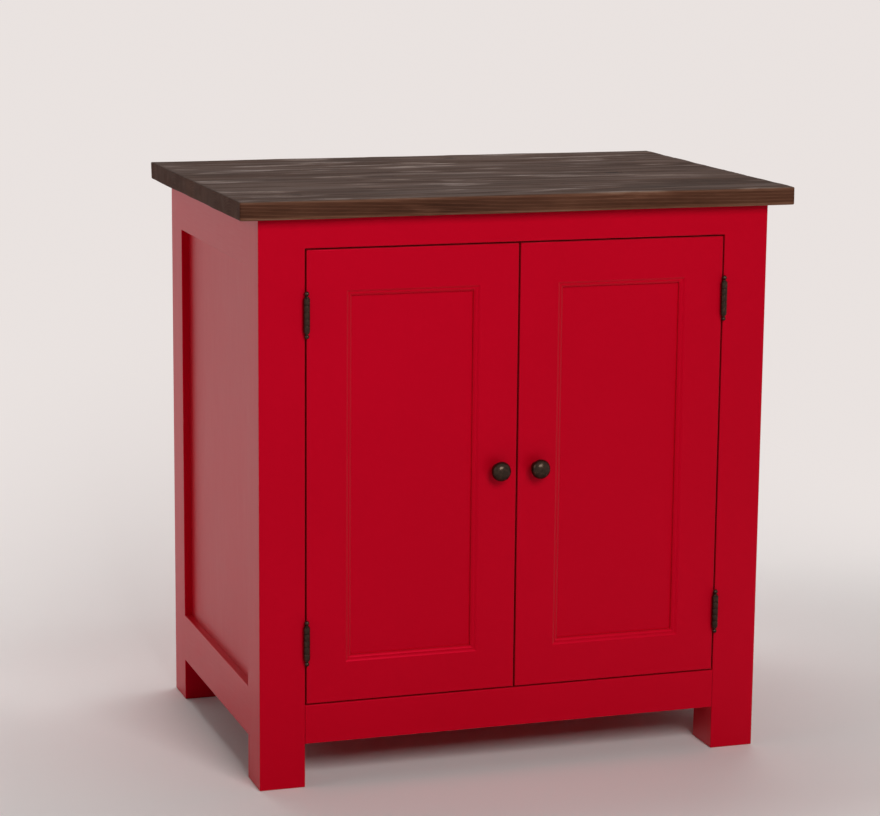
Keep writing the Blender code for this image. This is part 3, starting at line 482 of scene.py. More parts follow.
def bronze(name):
    """Dark bronzed metal, a little browner and duller where the finish is thin."""
    g = Graph(name)
    patches = g.noise(g.place, *BRONZE_PATCHES)
    pits = g.noise(g.place, *BRONZE_PITS)
    return g.finish(
        Base_Color=g.ramp(patches, BRONZE_COLOURS),
        Metallic=BRONZE_METALLIC,
        Roughness=g.between(patches, *BRONZE_ROUGHNESS),
        Normal=g.bump(pits, BRONZE_PIT_HEIGHT),
    )


def zinc(name):
    """Bright zinc-plated steel with fine rolling marks."""
    g = Graph(name)
    marks = g.along(0, ZINC_MARKS_ALONG, ZINC_MARKS)
    patches = g.noise(g.place, *ZINC_PATCHES)
    return g.finish(
        Base_Color=g.ramp(patches, ZINC_COLOURS),
        Metallic=1.0,
        Roughness=g.total(ZINC_ROUGHNESS, {"marks": marks, "patches": patches}),
        Normal=g.bump(marks, ZINC_MARK_HEIGHT),
    )


def brown_plastic(name):
    """Moulded plastic with a fine spark-eroded texture."""
    g = Graph(name)
    texture = g.noise(g.place, *PLASTIC_TEXTURE)
    patches = g.noise(g.place, *PLASTIC_PATCHES)
    return g.finish(
        Base_Color=g.ramp(patches, PLASTIC_COLOURS),
        Roughness=g.between(texture, *PLASTIC_ROUGHNESS),
        Normal=g.bump(texture, PLASTIC_TEXTURE_HEIGHT),
    )


# Shapes
def arc(centre, across, up, start, end, segments):
    """Points of a part of an ellipse about centre, from one angle in degrees to another."""
    angles = [math.radians(start + (end - start) * step / segments) for step in range(segments + 1)]
    return [(centre[0] + across * math.cos(a), centre[1] + up * math.sin(a)) for a in angles]


def curve_through(points, steps):
    """A smooth curve through points, with some steps in each stretch."""
    padded = [points[0], *points, points[-1]]
    line = []
    for four in zip(padded, padded[1:], padded[2:], padded[3:]):
        for step in range(steps):
            line.append(tuple(between_points(step / steps, *places) for places in zip(*four)))
    return line + [tuple(points[-1])]


def between_points(t, a, b, c, d):
    """A share t of the way from b to c on a curve that comes from a and goes on to d."""
    bend = (2 * a - 5 * b + 4 * c - d) * t**2
    turn = (3 * b - a - 3 * c + d) * t**3
    return 0.5 * (2 * b + (c - a) * t + bend + turn)


def lathe(shape, profile, steps, place):
    """Adds a turned form to a bmesh. The profile is radius and height, from the top down."""
    rings = []
    for radius, height in profile:
        turns = [2 * math.pi * step / steps for step in range(steps if radius > 0 else 1)]
        spots = [Vector((radius * math.cos(a), radius * math.sin(a), height)) for a in turns]
        rings.append([shape.verts.new(place @ spot) for spot in spots])
    for upper, lower in zip(rings, rings[1:]):
        for step in range(steps):
            after = step + 1
            loop = [upper[step % len(upper)], lower[step % len(lower)]]
            loop += [lower[after % len(lower)], upper[after % len(upper)]]
            corners = list(dict.fromkeys(loop))
            if len(corners) > 2:
                shape.faces.new(corners)


def rod(shape, radius, length, steps, place):
    """Adds a plain cylinder that stands on place."""
    lathe(shape, ((0.0, length), (radius, length), (radius, 0.0), (0.0, 0.0)), steps, place)


def box(shape, one, other, ease=0.0, place=None):
    """Adds a box between two corners, its edges eased, and gives its points."""
    low = Vector([min(pair) for pair in zip(one, other)])
    high = Vector([max(pair) for pair in zip(one, other)])
    matrix = Matrix.Translation((low + high) / 2) @ Matrix.Diagonal((*(high - low), 1.0))
    made = bmesh.ops.create_cube(shape, size=1.0, matrix=(place or Matrix.Identity(4)) @ matrix)
    if ease:
        round_edges(shape, edges_at(made["verts"]), ease, EASE_SEGMENTS)
    return made["verts"]


def edges_at(verts):
    """The edges at some points, each once and always in the same order."""
    return list(dict.fromkeys(edge for vert in verts for edge in vert.link_edges))


def round_edges(shape, edges, radius, segments):
    """Rounds some edges of a bmesh. The new faces take the finish beside them."""
    bmesh.ops.bevel(
        shape,
        geom=edges,
        offset=radius,
        segments=segments,
        profile=0.5,
        affect="EDGES",
        material=-1,
    )


def round_corners(shape, radius, segments):
    """Rounds every edge of a bmesh that turns a corner."""
    edges = [edge for edge in shape.edges if abs(edge.calc_face_angle(0.0)) > EDGE_ANGLE]
    round_edges(shape, edges, radius, segments)


def lattice_shell(lines, filled):
    """The closed surface round the filled cells of a lattice, as a bmesh.

    lines are the lattice's places along each axis, and filled says which cells are solid.
    """
    shape = bmesh.new()
    corners = {}

    def corner(place):
        if place not in corners:
            corners[place] = shape.verts.new([lines[axis][place[axis]] for axis in range(3)])
        return corners[place]

    for axis in range(3):
        across, up = (axis + 1) % 3, (axis + 2) % 3
        margin = [(1, 1) if other == axis else (0, 0) for other in range(3)]
        change = np.diff(np.pad(filled, margin).astype(int), axis=axis)
        for cell in zip(*(part.tolist() for part in np.nonzero(change))):
            loop = []
            for step_across, step_up in ((0, 0), (1, 0), (1, 1), (0, 1)):
                place = list(cell)
                place[across] += step_across
                place[up] += step_up
                loop.append(corner(tuple(place)))
            if change[cell] > 0:
                loop.reverse()
            shape.faces.new(loop)
    return shape


def mesh_object(name, shape, finishes):
    """An object of a bmesh, smooth but for its sharp edges."""
    mesh = bpy.data.meshes.new(name)
    shape.to_mesh(mesh)
    shape.free()
    for finish in finishes:
        mesh.materials.append(finish)
    mesh.shade_smooth()
    mesh.set_sharp_from_angle(angle=SHARP_ANGLE)
    made = bpy.data.objects.new(name, mesh)
    bpy.context.scene.collection.objects.link(made)
    return made


def cut(target, shape, crossing=False):
    """Cuts the closed forms of a bmesh, crossing each other or not, out of an object's mesh."""
    tool = mesh_object(target.name + "_tool", shape, ())
    modifier = target.modifiers.new("cut", "BOOLEAN")
    modifier.object = tool
    modifier.solver = "EXACT"
    modifier.use_self = crossing
    graph = bpy.context.evaluated_depsgraph_get()
    carved = bpy.data.meshes.new_from_object(target.evaluated_get(graph))
    target.modifiers.clear()
    target.data = carved
    carved.set_sharp_from_angle(angle=SHARP_ANGLE)
    bpy.data.objects.remove(tool, do_unlink=True)


def keep_faces_flat(target):
    """Shades large faces flat and lets only the eased edges turn the light."""
    modifier = target.modifiers.new("flat_faces", "WEIGHTED_NORMAL")
    modifier.keep_sharp = True


def settle(made, body, slot, *nodes):
    """Lets a finished piece ride on a body and stand for CAD nodes."""
    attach(made, body)
    if nodes:
        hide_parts(*nodes)
    return made


# Carcass and doors
def seat_cutter(seats):
    """The forms that cut the hinge seats into the wood."""
    tool = bmesh.new()
    for low, high in seats:
        box(tool, low, high)
    return tool


def build_carcass_frame(finishes, seats):
    """Posts and rails under one skin of paint, with the hinge seats and the peg holes."""
    members = [name for name in CARCASS_NODES if name.endswith(("_post", "_rail"))]
    shape = carcass_skin(members)
    round_corners(shape, ARRIS, ARRIS_SEGMENTS)
    made = mesh_object("carcass_frame", shape, finishes)
    tool = seat_cutter(seats)
    add_peg_holes(tool)
    add_joint_lines(tool)
    cut(made, tool)
    keep_faces_flat(made)
    return settle(made, "carcass", "red_paint", *members)


def carcass_skin(members):
    """The outside of the joined posts and rails, with a finish for the way that each lies."""
    boxes = [[on_grid(corner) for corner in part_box(name)] for name in members]
    lines = [sorted({corner[axis] for ends in boxes for corner in ends}) for axis in range(3)]
    filled = np.zeros([len(line) - 1 for line in lines], bool)
    for low, high in boxes:
        spans = [slice(lines[a].index(low[a]), lines[a].index(high[a])) for a in range(3)]
        filled[tuple(spans)] = True
    shape = lattice_shell(lines, filled)
    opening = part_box("front_right_post")[0].x
    front_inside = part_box("front_right_post")[1].y
    back_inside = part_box("back_right_post")[0].y
    for face in shape.faces:
        x, y, _ = face.calc_center_median()
        in_posts = abs(x) > opening - FIT_GAP
        in_rows = y < front_inside + FIT_GAP or y > back_inside - FIT_GAP
        face.material_index = 2 if in_posts and in_rows else 1 if in_posts else 0
    bmesh.ops.dissolve_limit(
        shape,
        angle_limit=FLAT_ANGLE,
        verts=shape.verts,
        edges=shape.edges,
        delimit={"MATERIAL"},
    )
    return shape


def on_grid(corner):
    """A corner with its last digits dropped, so that members that meet share their places."""
    return [round(place, GRID_DIGITS) for place in corner]


def add_joint_lines(tool):
    """The hairline down each end of the front bottom rail, where it meets its post."""
    low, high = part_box("front_bottom_rail")
    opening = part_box("front_right_post")[0].x
    for x in (-opening, opening):
        start = (x - JOINT_LINE_WIDTH / 2, low.y - OVERRUN, low.z - OVERRUN)
        end = (x + JOINT_LINE_WIDTH / 2, low.y + JOINT_LINE_DEPTH, high.z + OVERRUN)
        box(tool, start, end)


def add_peg_holes(tool):
    """The rows of holes for the shelf pegs."""
    for name in PEG_NODES:
        low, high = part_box(name)
        side = 1 if low.x > 0 else -1
        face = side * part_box("front_right_post")[0].x
        turn = Matrix.Rotation(side * QUARTER_TURN, 4, "Y")
        for step in PEG_ROWS:
            height = (low.z + high.z) / 2 + step * PEG_HOLE_PITCH
            start = Matrix.Translation((face - side * OVERRUN, (low.y + high.y) / 2, height))
            rod(tool, PEG_HOLE_RADIUS, PEG_HOLE_DEPTH + OVERRUN, SMALL_STEPS, start @ turn)


def rolling_arc(start, radius, tilts):
    """Points of a rounded surface that starts at a tilt and rolls over to another one."""
    centre = (start[0] - radius * math.sin(tilts[0]), start[1] + radius * math.cos(tilts[0]))
    turns = [270.0 + math.degrees(tilt) for tilt in tilts]
    return arc(centre, radius, radius, *turns, MOULDING_SEGMENTS)


def moulding_profile(start):
    """Two crowned bevels with a narrow strip between, then a small nose and a drop."""
    crown_share = math.sin(BEVEL_TILTS[1]) - math.sin(BEVEL_TILTS[0])
    outer, inner = (width / crown_share for width in BEVEL_WIDTHS)
    line = rolling_arc((start, 0.0), outer, BEVEL_TILTS)
    line.append((line[-1][0] + STRIP_WIDTH, line[-1][1]))
    line += rolling_arc(line[-1], inner, BEVEL_TILTS)[1:]
    line += rolling_arc(line[-1], NOSE_RADIUS, (BEVEL_TILTS[1], NOSE_TILT))[1:]
    return line + [(line[-1][0] + DROP_RUN, PANEL_DEPTH)]


def door_profile(thickness):
    """Section of a door's frame: distance in from its edge, and depth from its front."""
    profile = arc((ARRIS, ARRIS), ARRIS, ARRIS, 180.0, 270.0, ARRIS_SEGMENTS)
    profile += moulding_profile(MEMBER_FLAT)
    back_corner = (profile[-1][0] - BACK_ARRIS, thickness - BACK_ARRIS)
    profile += arc(back_corner, BACK_ARRIS, BACK_ARRIS, 0.0, 90.0, ARRIS_SEGMENTS)
    profile += arc((ARRIS, thickness - ARRIS), ARRIS, ARRIS, 90.0, 180.0, ARRIS_SEGMENTS)
    return profile


def build_door_frame(label, finishes, seats):
    """Stiles and rails of a door under one skin of paint, with a moulding round the panel."""
    parts = ("hinge_stile", "meeting_stile", "top_rail", "bottom_rail")
    names = [f"{label}_door_{part}" for part in parts]
    boxes = [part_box(name) for name in names[:2]]
    low = Vector([min(ends[0][axis] for ends in boxes) for axis in range(3)])
    high = Vector([max(ends[1][axis] for ends in boxes) for axis in range(3)])
    made = mesh_object(f"{label}_door_frame", door_skin(low, high), finishes)
    cut(made, seat_cutter(seats))
    keep_faces_flat(made)
    return settle(made, f"{label}_door", "red_paint", *names)


def door_skin(low, high):
    """The outside of a door's joined frame, with the stiles' finish out to their full width."""
    shape = bmesh.new()
    rings = []
    for inset, depth in door_profile(high.y - low.y):
        y = low.y + depth
        left, right, bottom, top = low.x + inset, high.x - inset, low.z + inset, high.z - inset
        corners = ((left, y, bottom), (right, y, bottom), (right, y, top), (left, y, top))
        rings.append([shape.verts.new(corner) for corner in corners])
    for outer, inner in zip(rings, rings[1:] + rings[:1]):
        for side in range(4):
            after = (side + 1) % 4
            face = shape.faces.new((outer[side], outer[after], inner[after], inner[side]))
            face.material_index = side % 2
    flats = (low.x + MEMBER_FLAT, high.x - MEMBER_FLAT)
    for x in flats:
        bmesh.ops.bisect_plane(
            shape,
            geom=[*shape.verts, *shape.edges, *shape.faces],
            dist=CUT_REACH,
            plane_co=(x, 0.0, 0.0),
            plane_no=(1.0, 0.0, 0.0),
        )
    for face in shape.faces:
        if not flats[0] < face.calc_center_median().x < flats[1]:
            face.material_index = 1
    bmesh.ops.recalc_face_normals(shape, faces=shape.faces)
    return shape


# Worktop
def stations(low, high, step, low_ease, high_ease):
    """Places from low to high about a step apart, closer where an edge is eased."""
    start, end = low + low_ease, high - high_ease
    count = max(1, round((end - start) / step))
    middle = [start + (end - start) * index / count for index in range(count + 1)]
    ahead = [low + low_ease * share for share in ARRIS_LINES] if low_ease else []
    behind = [high - high_ease * share for share in reversed(ARRIS_LINES)] if high_ease else []
    return ahead + middle + behind


def smoothstep(value, start, end):
    """A smooth rise from 0 at start to 1 at end."""
    t = np.clip((value - start) / (end - start), 0.0, 1.0)
    return t * t * (3 - 2 * t)


def noise_at(spots, scale, seed):
    """Smooth noise from -1 to 1 at each point, with a scale along each axis."""
    places = spots * np.array(scale) + (0.0, 0.0, seed)
    return np.array([noise.noise(place) for place in places])


class Board:
    """A worktop board: its box, how far its edges are eased, and its glued joints."""

    def __init__(self, name, first, last):
        self.low, self.high = (np.array(corner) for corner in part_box(name))
        self.low_ease, self.high_ease = (np.full(3, WORKTOP_ARRIS) for _ in range(2))
        self.joints = []
        if not first:
            self.low_ease[1] = 0.0
            self.low[1] -= FIT_GAP / 2
            self.joints.append((self.low[1], JOINT_WIDTH))
        if not last:
            self.high_ease[1] = 0.0
            self.high[1] += FIT_GAP / 2
            self.joints.append((self.high[1], -JOINT_WIDTH))

    def shell(self):
        """The closed lattice round the board, with a line close beside each joint."""
        limits = zip(self.low, self.high, LATTICE_STEP, self.low_ease, self.high_ease)
        lines = [stations(*ends) for ends in limits]
        lines[1] = sorted(lines[1] + [joint + inwards for joint, inwards in self.joints])
        return lattice_shell(lines, np.ones([len(line) - 1 for line in lines], bool))

    def eased(self, spots):
        """Points of the lattice moved so that the board's edges are round."""
        core = np.clip(spots, self.low + self.low_ease, self.high - self.high_ease)
        offset = spots - core
        ease = np.where(offset < 0, self.low_ease, self.high_ease)
        share = np.divide(offset, ease, out=np.zeros_like(offset), where=ease > 0)
        largest = np.abs(share).max(axis=1, keepdims=True)
        length = np.linalg.norm(share, axis=1, keepdims=True)
        scale = np.divide(largest, length, out=np.ones_like(length), where=length > 0)
        return core + share * scale * ease

    def rings(self, spots, chance):
        """How far points are from the board's pith, bent by waves and knots."""
        x, y, z = spots.T
        depth = chance.uniform(*PITH_DEPTH)
        rise = chance.uniform(-PITH_RISE, PITH_RISE)
        offset = chance.uniform(-PITH_OFFSET, PITH_OFFSET)
        turn = chance.uniform(0.0, 2 * math.pi)
        seed = chance.uniform(0.0, WAVE_SEEDS)
        wander = PITH_WANDER * np.sin(PITH_WAVES * x + turn)
        across = y - (self.low[1] + self.high[1]) / 2 - offset - wander
        ring = np.hypot(across, z - self.high[2] + depth + rise * x)
        ring += WAVE_HEIGHT * noise_at(spots, WAVE_SCALE, seed)
        for knot_x, knot_y, radius in self.knots():
            away = ((x - knot_x) / KNOT_LENGTH_SHARE) ** 2
            away += ((y - knot_y) / KNOT_WIDTH_SHARE) ** 2
            ring += np.exp(-away / radius**2) * radius * KNOT_LIFT_SHARE
        return ring

    def knottiness(self, spots):
        """One in the core of a knot and nothing outside it."""
        knotty = np.zeros(len(spots))
        for knot_x, knot_y, radius in self.knots():
            away = np.hypot((spots[:, 0] - knot_x) / KNOT_CORE_LENGTH_SHARE, spots[:, 1] - knot_y)
            core, rim = (radius * share for share in KNOT_CORE_SHARES)
            knotty = np.maximum(knotty, 1.0 - smoothstep(away, core, rim))
        return knotty

    def knots(self):
        """The knots whose middle is in this board."""
        return [knot for knot in KNOTS if self.low[1] <= knot[1] < self.high[1]]

    def marks(self, spots, chance):
        """What the wood is like at each point of the lattice by name, and where highlights are
        painted on it.
        """
        from_end = np.minimum(spots[:, 0] - self.low[0], self.high[0] - spots[:, 0])
        at_end = 1.0 - smoothstep(from_end, 0.0, END_DEPTH)
        scrape = smoothstep(noise_at(spots, SCRAPE_SCALE, GRAIN_SEED), *SCRAPE_LIMITS)
        glint = smoothstep(noise_at(spots, GLINT_SCALE, GLINT_SEED), *GLINT_LIMITS)
        inner = np.clip(spots, self.low + self.low_ease, self.high - self.high_ease)
        eased = self.eased(spots)
        return {
            "ring": self.rings(spots, chance),
            "knot": self.knottiness(spots),
            "scrape": scrape + (SCRAPE_MEAN - scrape) * END_CALM_SHARE * at_end,
            "glint": glint * (1.0 - at_end),
            "end": at_end,
            # The eased edges, lighter as wear and as a painted highlight.
            "wear_and_painted_highlight": np.all(inner[:, 1:] != spots[:, 1:], axis=1).astype(float),
            "up": smoothstep(eased[:, 2] - self.high[2], -TOP_DEPTH, 0.0),
        }

    def dips(self, spots, marks):
        """How far the brushed surface lies below the plain one at each point of the lattice."""
        phase = np.mod(marks["ring"] / RING_PITCH, 1.0)
        late = smoothstep(phase, *LATE_WOOD) * (1.0 - smoothstep(phase, *LATE_WOOD_END))
        rough_end = smoothstep(noise_at(spots, END_SCALE, GRAIN_SEED), *END_LIMITS)
        dip = RELIEF * (1.0 - late) + SCRAPE_RELIEF * (1.0 - marks["scrape"])
        dip = dip * (1.0 - marks["end"]) + END_RELIEF * (1.0 - rough_end) * marks["end"]
        for joint, _ in self.joints:
            away = np.abs(self.eased(spots)[:, 1] - joint)
            dip += JOINT_DIP * np.clip(1.0 - away / JOINT_WIDTH, 0.0, 1.0)
        return dip


def build_board(name, finish, board, chance):
    """A worktop board with brushed grain, eased where it is an edge of the top."""
    made = mesh_object(f"{name}_brushed", board.shell(), (finish,))
    mesh = made.data
    lattice = vectors(mesh, "co")
    marks = board.marks(lattice, chance)
    spots = board.eased(lattice)
    mesh.vertices.foreach_set("co", spots.ravel())
    mesh.update()
    normals = vectors(mesh, "normal")
    for joint, _ in board.joints:
        normals[np.abs(spots[:, 1] - joint) < FIT_GAP, 1] = 0.0
    spots = spots - normals * board.dips(lattice, marks)[:, None]
    mesh.vertices.foreach_set("co", spots.ravel())
    for key in BOARD_MARKS:
        attribute = mesh.attributes.new(key, "FLOAT", "POINT")
        attribute.data.foreach_set("value", marks[key].astype(np.float32))
    mesh.update()
    return settle(made, "carcass", "dark_stained_wood", name)


def vectors(mesh, key):
    """The places or normals of a mesh's points, a row for each."""
    values = np.zeros(len(mesh.vertices) * 3)
    mesh.vertices.foreach_get(key, values)
    return values.reshape(-1, 3)


def build_worktop(finish):
    chance = np.random.default_rng(GRAIN_SEED)
    names = sorted(name for name in CARCASS_NODES if name.startswith("worktop_board_"))
    for name in names:
        build_board(name, finish, Board(name, name == names[0], name == names[-1]), chance)


# Hinges
class Hinge:
    """Where a hinge lies, read from its joint and its CAD leaves."""

    def __init__(self, label, place):
        self.name = f"{label}_{place}_hinge"
        self.label = label
        self.side = 1 if label == "right" else -1
        joint = next(j for j in FRAME["joints"] if j["name"] == f"{label}_door_hinge")
        self.x, self.y = joint["pos_m"][:2]
        low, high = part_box(f"{self.name}_door_leaf")
        self.bottom, self.top = low.z, high.z
        self.leaf_end = high.y

    def seat(self, towards):
        """The corners of the seat in the wood on one side of the pin."""
        face = self.x + towards * (2 * FIT_GAP + LEAF_THICKNESS)
        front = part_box("front_left_post")[0].y - OVERRUN
        low = (min(self.x, face), front, self.bottom - FIT_GAP)
        high = (max(self.x, face), self.leaf_end + FIT_GAP, self.top + FIT_GAP)
        return low, high


def slotted_head():
    """A crowned countersunk screw head that lies in the plane Z = 0, with its slot along X."""
    shape = bmesh.new()
    radius, rise, sunk = LEAF_SCREW_HEAD_RADIUS, LEAF_SCREW_CROWN, -LEAF_THICKNESS / 2
    crown = arc((0.0, -rise), radius, 2 * rise, 90.0, 0.0, CROWN_SEGMENTS)
    profile = [(0.0, rise), *crown[1:], (radius, sunk), (0.0, sunk)]
    lathe(shape, profile, SMALL_STEPS, Matrix.Identity(4))
    head = mesh_object("slotted_head", shape, ())
    tool = bmesh.new()
    half_slot = Vector((2 * radius, SLOT_WIDTH / 2, SLOT_DEPTH))
    box(tool, -half_slot, half_slot)
    cut(head, tool)
    mesh = head.data
    bpy.data.objects.remove(head, do_unlink=True)
    return mesh


def add_mesh(shape, mesh, place):
    """Adds a mesh to a bmesh, moved by a matrix."""
    moved = mesh.copy()
    moved.transform(place)
    shape.from_mesh(moved)
    bpy.data.meshes.remove(moved)


def build_leaf(hinge, kind, finish, head, turns):
    """A leaf with its knuckles and its two screws."""
    towards = hinge.side if kind == "post" else -hinge.side
    shape = bmesh.new()
    inner = hinge.x + towards * FIT_GAP
    outer = hinge.x + towards * (FIT_GAP + LEAF_THICKNESS)
    plate_start = hinge.y + BARREL_RADIUS + FIT_GAP
    corners = box(shape, (inner, plate_start, hinge.bottom), (outer, hinge.leaf_end, hinge.top))
    round_far_corners(shape, corners, (plate_start + hinge.leaf_end) / 2)
    round_corners(shape, LEAF_EASE, EASE_SEGMENTS)
    pitch = (hinge.top - hinge.bottom) / KNUCKLES
    for index in range(0 if kind == "post" else 1, KNUCKLES, 2):
        start = hinge.bottom + index * pitch + (FIT_GAP / 2 if index else 0.0)
        end = hinge.bottom + (index + 1) * pitch - (FIT_GAP / 2 if index < KNUCKLES - 1 else 0.0)
        add_knuckle(shape, hinge, start, end)
        tongue = (inner, hinge.y + BARREL_RADIUS * TONGUE_START_SHARE, start)
        box(shape, tongue, (outer, plate_start + LEAF_CORNER, end), LEAF_EASE)
    middle = Vector((inner, (plate_start + hinge.leaf_end) / 2, (hinge.bottom + hinge.top) / 2))
    facing = Matrix.Rotation(-towards * QUARTER_TURN, 4, "Y")
    for step, degrees in zip((-1, 1), turns):
        spot = Matrix.Translation(middle + Vector((0.0, 0.0, step * LEAF_SCREW_SPACING / 2)))
        add_mesh(shape, head, spot @ facing @ Matrix.Rotation(math.radians(degrees), 4, "Z"))
    made = mesh_object(f"{hinge.name}_{kind}_leaf_fine", shape, (finish,))
    body = "carcass" if kind == "post" else f"{hinge.label}_door"
    return settle(made, body, "dark_bronze", f"{hinge.name}_{kind}_leaf")


def round_far_corners(shape, corners, middle):
    """Rounds a leaf's two corners that lie deepest in the wood."""
    far = edges_at([vert for vert in corners if vert.co.y > middle])
    across = [edge for edge in far if edge.verts[0].co.x != edge.verts[1].co.x]
    round_edges(shape, across, LEAF_CORNER, LEAF_CORNER_SEGMENTS)


def bead(radius, low, high):
    """Half the section of a short turned piece with eased rims, from the top down."""
    ease = BARREL_EASE
    upper = arc((radius - ease, high - ease), ease, ease, 90.0, 0.0, ROUND_SEGMENTS)
    return upper + arc((radius - ease, low + ease), ease, ease, 0.0, -90.0, ROUND_SEGMENTS)


def add_knuckle(shape, hinge, start, end):
    """A short barrel round the pin, its ends eased."""
    profile = [(0.0, end), *bead(BARREL_RADIUS, start, end), (0.0, start)]
    lathe(shape, profile, BARREL_STEPS, Matrix.Translation((hinge.x, hinge.y, 0.0)))


def build_pin(hinge, finish):
    """The hinge pin with a collar, a neck and a ball on each end."""
    half = (hinge.top - hinge.bottom) / 2 + FIT_GAP
    collar_top = half + COLLAR_HEIGHT
    collar = bead(BALL_RADIUS, half, collar_top)
    drop = math.sqrt(BALL_RADIUS**2 - NECK_RADIUS**2)
    lowest = -math.degrees(math.asin(drop / BALL_RADIUS))
    centre = (0.0, collar_top + NECK_HEIGHT + drop)
    ball = arc(centre, BALL_RADIUS, BALL_RADIUS, 90.0, lowest, BALL_SEGMENTS)
    upper = [(0.0, ball[0][1]), *ball[1:], (NECK_RADIUS, collar_top), *collar, (NECK_RADIUS, half)]
    profile = upper + [(radius, -height) for radius, height in reversed(upper)]
    shape = bmesh.new()
    middle = Matrix.Translation((hinge.x, hinge.y, (hinge.bottom + hinge.top) / 2))
    lathe(shape, profile, BARREL_STEPS, middle)
    made = mesh_object(f"{hinge.name}_pin_fine", shape, (finish,))
    return settle(made, "carcass", "dark_bronze", f"{hinge.name}_pin")


# Knobs and small metalwork
def knob_profile():
    """Radius and height of a knob from its crown down to its foot."""
    shares = [(KNOB_HEAD_RADIUS * a, b) for a, b in KNOB_HEAD_SHARES]
    shares += [(KNOB_NECK_RADIUS * a, b) for a, b in KNOB_NECK_SHARES]
    body = curve_through(shares, CURVE_STEPS)
    foot = curve_through([(KNOB_FOOT_RADIUS * a, b) for a, b in KNOB_FOOT_SHARES], CURVE_STEPS)
    whole = [(max(radius, 0.0), share * KNOB_REACH) for radius, share in body + foot]
    return [(0.0, KNOB_REACH), *whole[1:], (0.0, 0.0)]


def build_knob(label, finish):
    """A mushroom knob on the front of a door."""
    name = f"{label}_door_knob"
    low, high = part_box(name)
    spot = Matrix.Translation(((low.x + high.x) / 2, high.y, (low.z + high.z) / 2))
    shape = bmesh.new()
    lathe(shape, knob_profile(), KNOB_STEPS, spot @ Matrix.Rotation(QUARTER_TURN, 4, "X"))
    settle(mesh_object(f"{name}_fine", shape, (finish,)), f"{label}_door", "dark_bronze", name)


def build_knob_screw(label, finish):
    """The head of the screw that holds a knob from behind, with a cross cut into it."""
    name = f"{label}_door_knob_screw"
    low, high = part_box(name)
    spot = ((low.x + high.x) / 2, high.y - SCREW_HEAD_HEIGHT, (low.z + high.z) / 2)
    place = Matrix.Translation(spot) @ Matrix.Rotation(-QUARTER_TURN, 4, "X")
    shape = bmesh.new()
    lathe(shape, pan_head_profile(), SMALL_STEPS, place)
    made = mesh_object(f"{name}_fine", shape, (finish,))
    tool = bmesh.new()
    for x, y in ((CROSS_LENGTH / 2, CROSS_WIDTH / 2), (CROSS_WIDTH / 2, CROSS_LENGTH / 2)):
        low = (-x, -y, SCREW_HEAD_HEIGHT - CROSS_DEPTH)
        box(tool, low, (x, y, SCREW_HEAD_HEIGHT + OVERRUN), place=place)
    cut(made, tool, crossing=True)
    settle(made, f"{label}_door", "zinc_steel", name)


def pan_head_profile():
    """A low domed screw head that stands on Z = 0."""
    radius, height = SCREW_HEAD_RADIUS, SCREW_HEAD_HEIGHT
    rise = height * DOME_SHARE
    dome = arc((0.0, height - rise), radius, rise, 90.0, 0.0, DOME_SEGMENTS)
    return [(0.0, height), *dome[1:], (radius, 0.0), (0.0, 0.0)]


def build_peg(name, finish):
    """A shelf peg with a rounded nose and a thinner shank in its hole."""
    low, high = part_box(name)
    side = 1 if low.x > 0 else -1
    radius = (high.z - low.z) / 2
    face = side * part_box("front_right_post")[0].x
    nose = abs(low.x - face) if side > 0 else abs(high.x - face)
    shank, tip = PEG_HOLE_RADIUS - FIT_GAP, FIT_GAP - PEG_HOLE_DEPTH
    ease = radius * PEG_EASE_SHARE
    front = arc((radius - ease, nose - ease), ease, ease, 90.0, 0.0, PEG_NOSE_SEGMENTS)
    back = [(radius, FIT_GAP), (shank, FIT_GAP), (shank, tip), (0.0, tip)]
    shape = bmesh.new()
    spot = Matrix.Translation((face, (low.y + high.y) / 2, (low.z + high.z) / 2))
    turn = Matrix.Rotation(-side * QUARTER_TURN, 4, "Y")
    lathe(shape, [(0.0, nose), *front, *back], SMALL_STEPS, spot @ turn)
    settle(mesh_object(f"{name}_fine", shape, (finish,)), "carcass", "zinc_steel", name)


# Stage
def seen_directly(tree):
    """One for a ray from the camera, a reflection or glass, and nothing for scattered light."""
    rays = tree.nodes.new("ShaderNodeLightPath")
    seen = rays.outputs["Is Camera Ray"]
    for other in ("Is Glossy Ray", "Is Transmission Ray"):
        either = tree.nodes.new("ShaderNodeMath")
        either.operation = "MAXIMUM"
        tree.links.new(seen, either.inputs[0])
        tree.links.new(rays.outputs[other], either.inputs[1])
        seen = either.outputs[0]
    return seen


def sheet_finish():
    """Pale floor that keeps shadows and turns into an even backdrop. It is clear from behind."""
    g = Graph("floor_and_backdrop")
    away = g.stretched(FADE_SHARES)
    away = g.node("ShaderNodeVectorMath", {0: away}, operation="LENGTH").outputs["Value"]
    share = g.between(away, 0.0, 1.0, FADE_START, FADE_END, smooth=True)
    colour = g.ramp(share, ((0.0, FLOOR_COLOUR), (1.0, WALL_COLOUR)))
    made = g.finish(Base_Color=colour, Roughness=SHEET_ROUGHNESS, IOR=SHEET_IOR)
    inputs = {"Color": (*WORLD_COLOUR, 1.0), "Strength": WORLD_SEEN}
    glow = g.node("ShaderNodeEmission", inputs).outputs[0]
    share = g.maths("MULTIPLY", share, seen_directly(g.tree))
    mixed = g.node("ShaderNodeMixShader", {0: share, 1: g.shader.outputs[0], 2: glow}).outputs[0]
    clear = g.node("ShaderNodeBsdfTransparent").outputs[0]
    behind = g.node("ShaderNodeNewGeometry").outputs["Backfacing"]
    mixed = g.node("ShaderNodeMixShader", {0: behind, 1: mixed, 2: clear}).outputs[0]
    g.feed(g.tree.nodes["Material Output"].inputs["Surface"], mixed)
    return made


